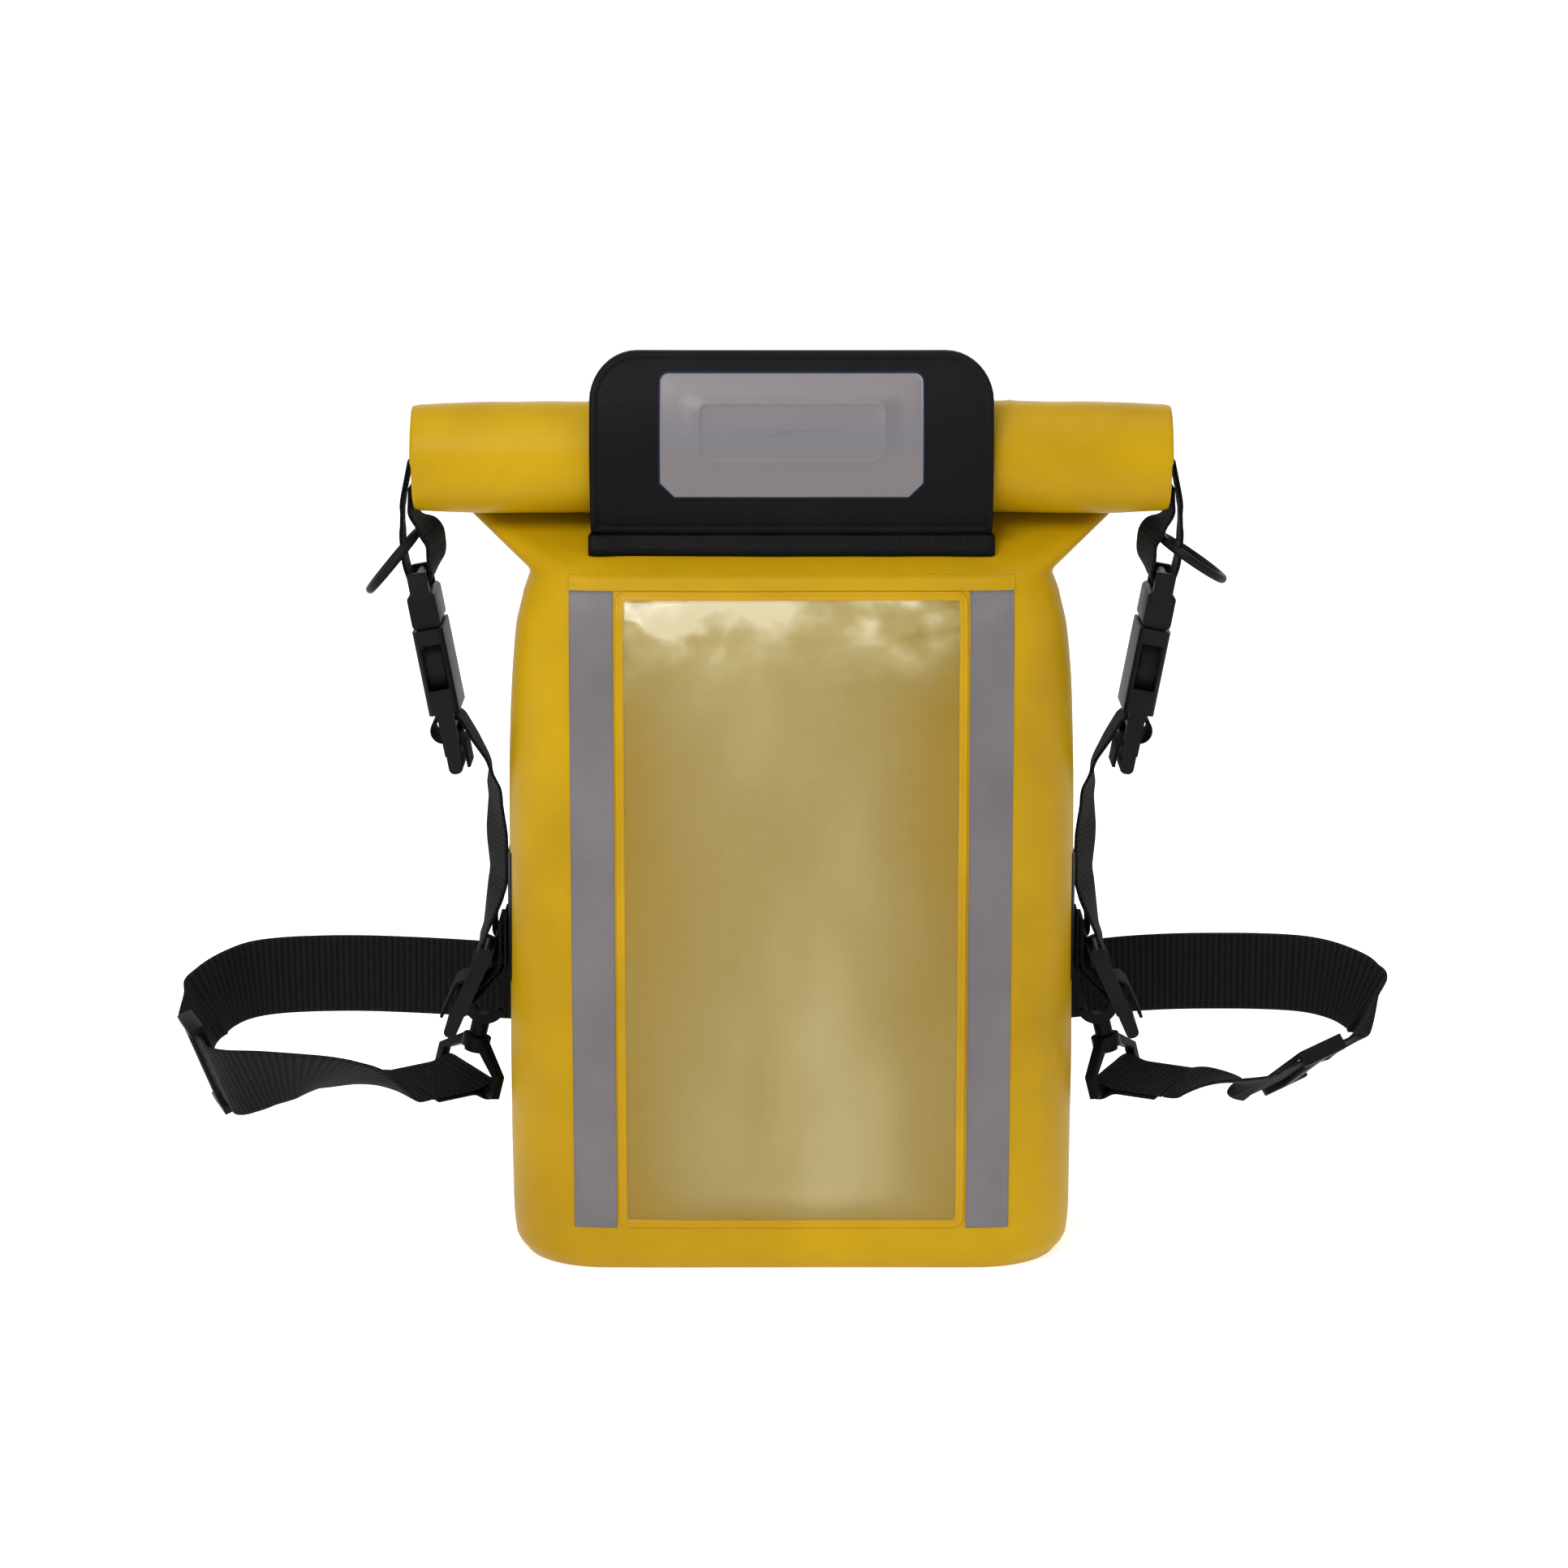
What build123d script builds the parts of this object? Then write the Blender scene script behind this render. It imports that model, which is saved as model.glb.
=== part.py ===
from build123d import *
import os
from math import asin, cos, degrees, radians, sin

# Roll-top dry bag, closed and standing.  Millimetres, +Z up, front faces -Y,
# origin on the floor under the middle of the base.  "right" is +X and "left" is -X.

# ---------------------------------------------------------------- driving dimensions
BODY_WIDTH = 208.0
BODY_DEPTH = 97.0
CORNER = 34.0              # radius of the body's upright edges
SHEET = 1.0                # coated fabric
SHOULDER_Z = 258.0         # where the front panel turns back towards the roll
NECK_Z = 281.0             # where front and back sheets come close together
NECK_Y = 14.0              # the mouth stands behind the middle of the bag
FLAT_WIDTH = 275.0         # the mouth pressed flat: half of the body's girth

ROLL_Z = 295.5             # level where the sheet starts to roll
ROLL_RADIUS = 20.0         # first half turn, middle of the double sheet
ROLL_STEP = 2.5            # each half turn is this much smaller
ROLL_HALF_TURNS = 7
ROLL_Y = NECK_Y - ROLL_RADIUS

WINDOW_HALF = 60.5
WINDOW_LOW = 20.0
WINDOW_HIGH = 250.0
BORDER = 2.8
STRIP_INNER = 64.0
STRIP_WIDTH = 15.6
STRIP_LOW = 17.0
STRIP_HIGH = 253.0

FLAP_WIDTH = 145.0
FLAP_TOP = 336.5
FLAP_HINGE_Z = 270.5
FLAP_THICK = 2.2
FLAP_CORNER = 17.0
FLAP_RADIUS = 60.0         # bow of the flap over the roll, seen from the side
FLAP_FRONT = -32.2         # foremost point of the flap
FLAP_BOW_Z = ROLL_Z + 3.0  # level of that point
TAPE_THICK = 1.3           # hook tape and loop tape

WEBBING = 1.4
TAB_WIDTH = 19.0
BELT_WIDTH = 30.0
CLEAR = 0.3

BUCKLE_TOP = (136.5, 257.0)        # x and z of the male half's top
BUCKLE_TILT = 10.5                 # degrees, lower end towards the bag
BUCKLE_WIDTH = 31.0
BUCKLE_THICK = 11.4
HARDWARE_Y = -6.0                  # lane of the tabs, buckles and side straps

RING_MAJOR = 13.6
RING_WIRE = 1.6
RING_REACH = 5.5                   # strand to ring centre
RING_PIVOT = (141.8, 262.5)        # x and z where the ring hangs on its tab
RING_TILT = {"right": 34.0, "left": 50.0}

ANCHOR_Y = 21.2                    # lane of the D-rings and snap hooks
D_BAR = (109.0, 115.0)
D_WIRE = 1.75
D_INNER = 20.0
HOOK_TOP = (112.6, 98.5)           # where the D-ring lies in the hook
HOOK_TILT = 14.0                   # degrees, lower end away from the bag
EYE_TURN = {"right": 60.0, "left": 50.0}   # turn of the swivel eye about the hook's axis
EYE_BAR = -45.0                    # level of the eye's bar below the D-ring

ADJUSTER_TOP = (112.0, 116.0)
ADJUSTER_TILT = -24.0              # degrees, lower end away from the bag
ADJUSTER_BARS = (-4.0, -13.0, -22.0)

BELT_Z = 84.0
BELT_Y = 52.0


# ---------------------------------------------------------------- helpers
def body_sections(grow):
    """Closed outlines of the bag from the floor to the mouth, grown outward by grow."""
    half_x = BODY_WIDTH / 2
    half_y = BODY_DEPTH / 2
    rows = [
        (0.0, half_x - 5.0, half_y - 5.5, CORNER - 3.0, 0.0),
        (6.0, half_x - 1.0, half_y - 1.5, CORNER, 0.0),
        (30.0, half_x, half_y - 0.5, CORNER, 0.0),
        (120.0, half_x, half_y, CORNER, 0.0),
        (200.0, half_x - 1.0, half_y - 0.5, CORNER, 0.0),
        (235.0, half_x - 6.0, half_y - 2.5, CORNER - 4.0, 0.0),
        (250.0, half_x - 9.0, half_y - 6.0, CORNER - 8.0, 0.0),
        (SHOULDER_Z, half_x - 9.5, half_y - 11.5, CORNER - 12.0, 0.0),
        (NECK_Z, FLAT_WIDTH / 2 - 12.0, 6.0, 5.0, NECK_Y),
        (ROLL_Z, FLAT_WIDTH / 2, SHEET, SHEET * 0.9, NECK_Y),
    ]
    outlines = []
    for z, half_width, half_depth, radius, centre_y in rows:
        if grow < 0 and z == ROLL_Z:
            continue
        width = 2 * (half_width + grow)
        depth = 2 * (half_depth + grow)
        outlines.append(Pos(0, centre_y, z) * RectangleRounded(width, depth, radius + grow))
    return outlines


def body_solid(grow=0.0):
    return loft(body_sections(grow), ruled=True)


def ribbon(points, radius, width, thickness=WEBBING, plane=Plane.XZ):
    """Flat webbing bent only about one direction: a path drawn in a plane, width across it."""
    path = FilletPolyline(*points, radius=radius)
    return extrude(plane * trace(path, thickness), width / 2, both=True)


def webbing_run(stations, width=BELT_WIDTH, thickness=WEBBING):
    """Webbing that bends and twists: stations are x, y, z and the lean of its width."""
    points = [Vector(x, y, z) for x, y, z, lean in stations]
    last = len(points) - 1
    sections = []
    for i, point in enumerate(points):
        tangent = (points[min(i + 1, last)] - points[max(i - 1, 0)]).normalized()
        upright = (Vector(0, 0, 1) - tangent * tangent.Z).normalized()
        across = upright.rotate(Axis((0, 0, 0), tangent), stations[i][3])
        sections.append(Plane(point, x_dir=across, z_dir=tangent) * Rectangle(width, thickness))
    return loft(sections, ruled=True)


def block(x, y, z):
    """Box between a low and a high value on each axis."""
    size = (x[1] - x[0], y[1] - y[0], z[1] - z[0])
    return Pos((x[0] + x[1]) / 2, (y[0] + y[1]) / 2, (z[0] + z[1]) / 2) * Box(*size)


def bar_y(x, z, radius, length):
    return Pos(x, 0, z) * Rot(90, 0, 0) * Cylinder(radius, length)


def on_side(side, solid):
    return mirror(solid, about=Plane.YZ) if side == "left" else solid


def in_buckle(solid):
    """Buckle frame (top at the origin, body below it) to its place on the right."""
    return Pos(BUCKLE_TOP[0], HARDWARE_Y, BUCKLE_TOP[1]) * Rot(0, BUCKLE_TILT, 0) * solid


def turned(origin, degrees, x, z):
    """A point of a tilted fitting's own x, z plane, in the bag's x, z plane."""
    tilt = radians(degrees)
    return origin[0] + x * cos(tilt) + z * sin(tilt), origin[1] - x * sin(tilt) + z * cos(tilt)


def buckle_point(x, z):
    return turned(BUCKLE_TOP, BUCKLE_TILT, x, z)


def adjuster_point(x, z):
    return turned(ADJUSTER_TOP, ADJUSTER_TILT, x, z)


def in_hook(solid):
    """Hook frame (D-ring's wire at the origin, hook below it) to its place on the right."""
    return Pos(HOOK_TOP[0], ANCHOR_Y, HOOK_TOP[1]) * Rot(0, -HOOK_TILT, 0) * solid


# ---------------------------------------------------------------- bag
def bag_panels():
    inside = loft(body_sections(-SHEET), ruled=True) & block((-200, 200), (-100, 100), (SHEET, 290))
    outside = body_solid()
    base = outside & block((-200, 200), (-100, 100), (0, SHEET))
    wall = (outside & block((-200, 200), (-100, 100), (SHEET, ROLL_Z))) - inside
    front_side = Polyline(
        (-100, 0), (0, 0), (0, SHOULDER_Z), (NECK_Y, NECK_Z), (NECK_Y, ROLL_Z), (-100, ROLL_Z), close=True
    )
    front_half = extrude(Plane.YZ * make_face(front_side), 200, both=True)
    return wall & front_half, wall - front_half, base


def skin(x, z, thickness, y_side=-1):
    """Thin sheet that lies on the body between two x and two z values."""
    y = (-100, 0) if y_side < 0 else (0, 100)
    return (body_solid(thickness) - body_solid()) & block(x, y, z)


def rolled_mouth():
    """Double sheet wound forward in half turns, each smaller than the last."""
    outer, inner = [], []
    start, radius = NECK_Y, ROLL_RADIUS
    for turn in range(ROLL_HALF_TURNS):
        upper = turn % 2 == 0
        centre = start - radius if upper else start + radius
        angle = 0 if upper else 180
        outer.append(CenterArc((centre, ROLL_Z), radius + SHEET, angle, 180))
        inner.append(CenterArc((centre, ROLL_Z), radius - SHEET, angle, 180))
        start = centre - radius if upper else centre + radius
        radius -= ROLL_STEP
    start_cap = Line(outer[0] @ 0, inner[0] @ 0)
    end_cap = Line(outer[-1] @ 1, inner[-1] @ 1)
    face = make_face(outer + inner + [start_cap, end_cap])
    return extrude(Plane.YZ * face, FLAT_WIDTH / 2, both=True)


def mouth_stiffener():
    return block((-134, 134), (ROLL_Y - 7.5, ROLL_Y + 2.5), (ROLL_Z - 3.0, ROLL_Z - 1.4))


def window_border():
    outer = skin((-WINDOW_HALF - BORDER, WINDOW_HALF + BORDER), (WINDOW_LOW - BORDER, WINDOW_HIGH + BORDER), 0.6)
    return outer - block((-WINDOW_HALF, WINDOW_HALF), (-100, 0), (WINDOW_LOW, WINDOW_HIGH))


def reflective_strip():
    return skin((STRIP_INNER, STRIP_INNER + STRIP_WIDTH), (STRIP_LOW, STRIP_HIGH), 0.4)


def seal_band():
    """Welded band over the pocket's press seal, above the window."""
    return skin((-80, 80), (WINDOW_HIGH + BORDER + 0.2, WINDOW_HIGH + BORDER + 5.4), 0.8)


# ---------------------------------------------------------------- flap
def shoulder_z(y):
    """Height of the sloping shoulder at a y in front of the mouth."""
    low_y = -(BODY_DEPTH / 2 - 11.5)
    high_y = NECK_Y - 6.0
    return SHOULDER_Z + (NECK_Z - SHOULDER_Z) * (y - low_y) / (high_y - low_y)


def flap_shell(inner, outer, low, high):
    """Bowed layer of the flap between two distances behind its front face."""
    centre = (FLAP_FRONT + FLAP_RADIUS, FLAP_BOW_Z)
    ring = Circle(FLAP_RADIUS - outer) - Circle(FLAP_RADIUS - inner)
    layer = extrude(Plane.YZ * Pos(*centre) * ring, FLAP_WIDTH / 2, both=True)
    return layer & block((-100, 100), (-60, 0), (low, high))


def flap_outline(inset):
    """Prism of the flap's front outline: rounded top corners, square foot."""
    half = FLAP_WIDTH / 2 - inset
    top = FLAP_TOP - inset
    low = FLAP_HINGE_Z + 0.3 + inset
    height = top - low
    plate = Pos(0, -30, (top + low) / 2) * Box(2 * half, 60, height)
    upper = plate.edges().filter_by(Axis.Y).group_by(Axis.Z)[-1]
    return fillet(upper, FLAP_CORNER - inset)


def flap_panel():
    return flap_shell(FLAP_THICK, 0.0, FLAP_HINGE_Z, FLAP_TOP) & flap_outline(0.0)


def flap_rim():
    rim = flap_shell(0.0, -0.6, FLAP_HINGE_Z, FLAP_TOP) & flap_outline(0.0)
    return rim - flap_outline(2.6)


def flap_label():
    plate = Pos(0, -30, 307.2) * Box(96, 60, 45.5)
    corners = plate.edges().filter_by(Axis.Y)
    plate = fillet(corners.group_by(Axis.Z)[-1], 3.6)
    plate = chamfer(plate.edges().filter_by(Axis.Y).group_by(Axis.Z)[0], 5.0)
    return flap_shell(0.0, -0.6, 280, 340) & plate


def flap_hook_tape():
    strip = flap_shell(FLAP_THICK + TAPE_THICK, FLAP_THICK, ROLL_Z, ROLL_Z + 13)
    return strip & block((-45, 45), (-60, 0), (280, 330))


def roll_loop_tape():
    """Loop tape on the roll's upper front, facing the flap's hook tape."""
    ring = Circle(ROLL_RADIUS + SHEET + TAPE_THICK) - Circle(ROLL_RADIUS + SHEET)
    tape = extrude(Plane.YZ * Pos(ROLL_Y, ROLL_Z) * ring, 45, both=True)
    return tape & block((-45, 45), (-60, ROLL_Y), (ROLL_Z + 0.5, ROLL_Z + 14))


def flap_base_band():
    """Welded foot of the flap: a flange on the shoulder and a thick upright band."""
    front, back, flange = -27.4, -22.2, -14.0
    outline = Polyline(
        (front, shoulder_z(front)),
        (flange, shoulder_z(flange)),
        (flange, shoulder_z(flange) + 1.2),
        (back, shoulder_z(back) + 1.2),
        (back, FLAP_HINGE_Z - 0.3),
        (front + 1.8, FLAP_HINGE_Z - 0.3),
        (front, FLAP_HINGE_Z - 2.7),
        close=True,
    )
    return extrude(Plane.YZ * make_face(outline), FLAP_WIDTH / 2 + 0.8, both=True)


# ---------------------------------------------------------------- tabs, rings and buckles
def tab_webbing():
    """Teardrop loop of webbing from the roll's end round the male half's bar."""
    bar = buckle_point(0, -4.0)
    end_x = FLAT_WIDTH / 2 + 0.9
    points = [
        (end_x, 296.0),
        (141.6, 281.0),
        (142.0, 268.0),
        (bar[0] + 5.4, bar[1] + 5.0),
        (bar[0] + 2.6, bar[1] - 3.3),
        (bar[0] - 4.2, bar[1] - 2.4),
        (129.4, 263.0),
        (130.9, 269.3),
        (end_x, 275.4),
        (end_x, 286.0),
    ]
    return Pos(0, HARDWARE_Y, 0) * ribbon(points, 1.2, TAB_WIDTH)


def upper_ring(side):
    x, z = RING_PIVOT
    tilt = radians(RING_TILT[side])
    centre = (x + RING_REACH * cos(tilt), HARDWARE_Y, z - RING_REACH * sin(tilt))
    return Pos(*centre) * Rot(0, RING_TILT[side], 0) * Torus(RING_MAJOR, RING_WIRE)


def buckle_male():
    half = TAB_WIDTH / 2 + 1.0
    bar = bar_y(0, -4.0, 1.7, 2 * half + 2)
    arms = [block((-3.6, 3.6), (y, y + 3.2), (-13, -1.5)) for y in (half, -half - 3.2)]
    body = block((-5.2, 5.2), (-13.6, 13.6), (-22.0, -9.0))
    body = fillet(body.edges().filter_by(Axis.Y), 2.0)
    guide = block((-1.8, 1.8), (-2.4, 2.4), (-44, -21))
    return bar + arms[0] + arms[1] + body + guide


def buckle_prong(direction):
    """Sprung arm with a finger pad that shows in the female half's side window."""
    outline = Polyline(
        (6.4, -22.4), (8.9, -22.4), (10.2, -28.0), (12.6, -34.0), (12.9, -38.0),
        (11.6, -43.0), (9.6, -46.5), (8.0, -46.5), (8.6, -38.0), (7.4, -30.0), close=True,
    )
    prong = extrude(Plane.YZ * make_face(outline), 3.2, both=True)
    prong = fillet(prong.edges().filter_by(Axis.X).group_by(Axis.Y)[-1], 1.0)
    return prong if direction > 0 else mirror(prong, about=Plane.XZ)


def buckle_female():
    half_x, half_y = BUCKLE_THICK / 2, BUCKLE_WIDTH / 2
    shell = block((-half_x, half_x), (-half_y, half_y), (-54, -22.4))
    shell = fillet(shell.edges().filter_by(Axis.Z), 2.6)
    socket = block((-3.9, 3.9), (-13.3, 13.3), (-49, -20))
    windows = block((-3.9, 3.9), (-20, 20), (-45, -28))
    rails = [block((-3.0, 3.0), (y, y + 3.2), (-70, -53)) for y in (10.3, -13.5)]
    lock_bar = bar_y(0.0, -61.0, 1.9, 22)
    tongue = block((-2.6, 2.6), (-13.5, 13.5), (-77, -69))
    tongue = fillet(tongue.edges().filter_by(Axis.Y).group_by(Axis.Z)[0], 2.2)
    frame = shell - socket - windows
    return frame + rails[0] + rails[1] + lock_bar + tongue


def side_strap():
    """Webbing from the ladder lock down the bag's side and through the lower adjuster."""
    upper = [(-4.4, -76.0), (-4.4, -65.8), (4.8, -65.4), (7.2, -61.0), (4.4, -56.6), (-4.2, -56.6), (-6.8, -64.0)]
    lower = [(2.7, 0.0), (2.7, -5.5), (-2.7, -11.0), (-2.7, -15.0), (5.2, -17.8), (5.2, -33.0)]
    points = [buckle_point(x, z) for x, z in upper]
    points += [(111.5, 184.0), (106.6, 172.0), (105.8, 140.0)]
    points += [adjuster_point(x, z) for x, z in lower]
    return Pos(0, HARDWARE_Y, 0) * ribbon(points, 1.2, TAB_WIDTH)


# ---------------------------------------------------------------- lower strap adjuster
def in_adjuster(solid):
    return Pos(ADJUSTER_TOP[0], HARDWARE_Y, ADJUSTER_TOP[1]) * Rot(0, ADJUSTER_TILT, 0) * solid


def strap_adjuster():
    """Ladder lock: two rails, three bars and a thumb tongue."""
    rails = [block((-2.8, 2.8), (y, y + 3.0), (-28, -2)) for y in (10.2, -13.2)]
    solid = rails[0] + rails[1]
    for z in ADJUSTER_BARS:
        solid += bar_y(0, z, 1.7, 22)
    tongue = block((-2.4, 2.4), (-13.2, 13.2), (-38, -26))
    tongue = fillet(tongue.edges().filter_by(Axis.Y).group_by(Axis.Z)[0], 2.0)
    return solid + tongue


def strap_anchor():
    """Webbing from the side patch round the adjuster's lowest bar and back."""
    bar = ADJUSTER_BARS[-1]
    wrap = [(-3.0, bar - 2.6), (3.0, bar - 2.9), (3.0, bar + 2.9), (-1.5, bar + 2.9), (-3.2, bar + 4.3)]
    points = [(105.8, 127.0), (105.8, 106.0)]
    points += [adjuster_point(x, z) for x, z in wrap]
    points += [(107.9, 106.6), (107.6, 125.0)]
    return Pos(0, HARDWARE_Y, 0) * ribbon(points, 1.0, TAB_WIDTH)


# ---------------------------------------------------------------- anchor, D-ring and snap hook
def side_patch():
    return (body_solid(0.8) - body_solid()) & block((60, 120), (-22, 38), (104, 152))


def anchor_webbing():
    """Webbing tab folded round the D-ring's straight bar, sewn to the side patch."""
    x, z = D_BAR
    reach = D_WIRE + CLEAR + WEBBING / 2 + 0.3
    points = [
        (x - reach, 144), (x - reach, z - reach), (x + reach, z - reach), (x + reach, z + 4.0),
        (x - 0.9, 128), (x - 0.9, 144),
    ]
    return Pos(0, ANCHOR_Y, 0) * ribbon(points, 2.2, D_INNER - 1.0)


def d_ring():
    """Straight bar inside the anchor, arms down to a curved wire that the hook holds."""
    across, drop = HOOK_TOP[0] - D_BAR[0], D_BAR[1] - HOOK_TOP[1]
    height = (across ** 2 + drop ** 2) ** 0.5
    half = D_INNER / 2 + D_WIRE
    corners = [(-half, 0), (half, 0), (half, -height), (-half, -height)]
    hanging = Plane((D_BAR[0], ANCHOR_Y, D_BAR[1]), x_dir=(0, 1, 0), z_dir=(drop, 0, across))
    path = hanging * FilletPolyline(*corners, radius=[2.0, 2.0, 6.0, 6.0], close=True)
    return sweep(Plane(path @ 0, z_dir=path % 0) * Circle(D_WIRE), path=path)


def hook_body():
    """Oval hook with an open side, a neck, and a headed post that turns in the eye."""
    oval = Pos(0, -7.6) * (RectangleRounded(16.0, 29.6, 7.9) - RectangleRounded(8.4, 22.0, 4.1))
    hook = extrude(Plane.XZ * oval, 3.25, both=True)
    hook -= block((-8.5, -3.9), (-5, 5), (-15.5, -1.5))
    neck = Pos(0, 0, -25.0) * Cylinder(3.4, 5.6)
    post = Pos(0, 0, -30.0) * Cylinder(2.6, 6.0)
    head = Pos(0, 0, -33.4) * Cylinder(3.8, 1.6)
    return hook + neck + post + head


def hook_gate():
    """Sprung finger that closes the hook's open side."""
    gate = block((-7.7, -4.5), (-2.6, 2.6), (-15.2, -1.8))
    ends = gate.edges().filter_by(Axis.Y).group_by(Axis.Z)
    gate = fillet(ends[0], 1.55)
    return fillet(gate.edges().filter_by(Axis.Y).group_by(Axis.Z)[-1], 0.9)


def swivel_eye(side):
    """Boss on the post and a slotted frame for the belt webbing."""
    half = BELT_WIDTH / 2 + 1.0
    boss = Pos(0, 0, -30.2) * Cylinder(5.4, 4.6)
    outline = Polyline(
        (-5, -28.2), (5, -28.2), (half + 3.2, -38.0), (half + 3.2, EYE_BAR - 1.9),
        (-half - 3.2, EYE_BAR - 1.9), (-half - 3.2, -38.0), close=True,
    )
    slot = Polyline(
        (-4.4, -32.5), (4.4, -32.5), (half, -39.0), (half, EYE_BAR + 1.9), (-half, EYE_BAR + 1.9),
        (-half, -39.0), close=True,
    )
    frame = extrude(Plane.XZ * (make_face(outline) - make_face(slot)), 1.9, both=True)
    eye = boss + frame - Pos(0, 0, -30) * Cylinder(2.65, 8) - Pos(0, 0, -34.4) * Cylinder(4.2, 3.8)
    return in_hook(Rot(0, 0, EYE_TURN[side]) * eye)


# ---------------------------------------------------------------- belt
def belt_back():
    return block((-95, 95), (BELT_Y - WEBBING / 2, BELT_Y + WEBBING / 2), (BELT_Z - 15, BELT_Z + 15))


def back_patch():
    return skin((-85, 85), (BELT_Z - 26, BELT_Z + 26), 0.8, y_side=1)


def belt_keeper():
    """Webbing keeper sewn to the back patch above and below the belt."""
    points = [(49.9, BELT_Z + 25), (50.2, BELT_Z + 19), (53.9, BELT_Z + 16), (53.9, BELT_Z - 16),
              (50.2, BELT_Z - 19), (49.9, BELT_Z - 25)]
    return Pos(58, 0, 0) * ribbon(points, 1.5, 25.0, 1.2, plane=Plane.YZ)


def eye_frame(side):
    """Middle of the swivel eye's bar, the bar's direction and the way the belt leaves it."""
    tilt, turn = radians(HOOK_TILT), radians(EYE_TURN[side])
    centre = Vector(HOOK_TOP[0] - EYE_BAR * sin(tilt), ANCHOR_Y, HOOK_TOP[1] + EYE_BAR * cos(tilt))
    bar = Vector(cos(turn) * cos(tilt), sin(turn), cos(turn) * sin(tilt))
    leave = bar.cross(Vector(0, 0, 1)).normalized()
    return centre, bar, leave


def belt_end(side):
    """End of the belt folded round the eye's bar and sewn back on itself."""
    centre, bar, leave = eye_frame(side)
    points = [(26, 1.5), (6, 1.5), (1.0, 3.4), (-3.4, 3.4), (-3.4, -3.4), (1.0, -3.4), (6, -0.1), (23, -0.1)]
    return ribbon(points, 1.2, BELT_WIDTH, plane=Plane(centre, x_dir=leave, z_dir=-bar))


# Stations are x, y, z on the right and the lean of the belt's width from upright, in degrees.
BELT_BACK = {
    "left": [(96.4, 52, 84, 0), (130, 58, 84.5, 0), (165, 62, 85, 0), (198, 59.5, 84.8, 0), (217, 48, 82.5, -2),
             (226.5, 35, 75, -13)],
    "right": [(96.4, 52, 84, 0), (130, 59, 85.5, 0), (165, 62, 86, 0), (197, 58, 86, 0), (215, 47, 83.5, -4),
              (221.5, 34, 77, -24)],
}
BELT_RUN = {                        # the straight stretch that the slider rides on, and its lean
    "left": ((227, 22, 67.5), (212, -18, 64.5), -22),
    "right": ((212, 21, 68), (175, -2, 57.5), -56),
}
BELT_FRONT = {
    "left": [(205, -24, 66, -26), (194, -27, 68, -33), (180, -26, 68.5, -44), (168, -19, 66.5, -60),
             (159, -9.5, 61.5, -76)],
    "right": [(166, -3.5, 60, -74)],
}


def run_point(side, share):
    start, end, lean = BELT_RUN[side]
    start, end = Vector(*start), Vector(*end)
    point = start + (end - start) * share
    return point.X, point.Y, point.Z, lean


def belt_side(side):
    """Belt from behind the bag, round the loop and through the slider to its folded end."""
    centre, bar, leave = eye_frame(side)
    stations = BELT_BACK[side] + [run_point(side, share) for share in (0.0, 0.12, 0.88, 1.0)]
    stations += BELT_FRONT[side]
    flat = -90 - degrees(asin(bar.Z))
    for reach, rise in ((34.0, 2.5), (26.4, 1.5)):
        point = centre + leave * reach
        stations.append((point.X, point.Y, point.Z + rise, flat))
    return webbing_run(stations)


def belt_slider(side):
    """Triglide: webbing runs straight behind its end bars and over its middle bar."""
    start, end, lean = BELT_RUN[side]
    start, end = Vector(*start), Vector(*end)
    tangent = (end - start).normalized()
    upright = (Vector(0, 0, 1) - tangent * tangent.Z).normalized()
    across = upright.rotate(Axis((0, 0, 0), tangent), lean)
    half = BELT_WIDTH / 2 + 0.6
    solid = block((half, half + 3), (-3, 3), (-10, 10)) + block((-half - 3, -half), (-3, 3), (-10, 10))
    for z in (-8.4, 8.4):
        solid += block((-half - 1, half + 1), (1.1, 3.0), (z - 1.6, z + 1.6))
    solid += block((-half - 1, half + 1), (-3.0, -1.1), (-1.8, 1.8))
    return Plane((start + end) / 2, x_dir=across, z_dir=tangent) * solid


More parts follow.
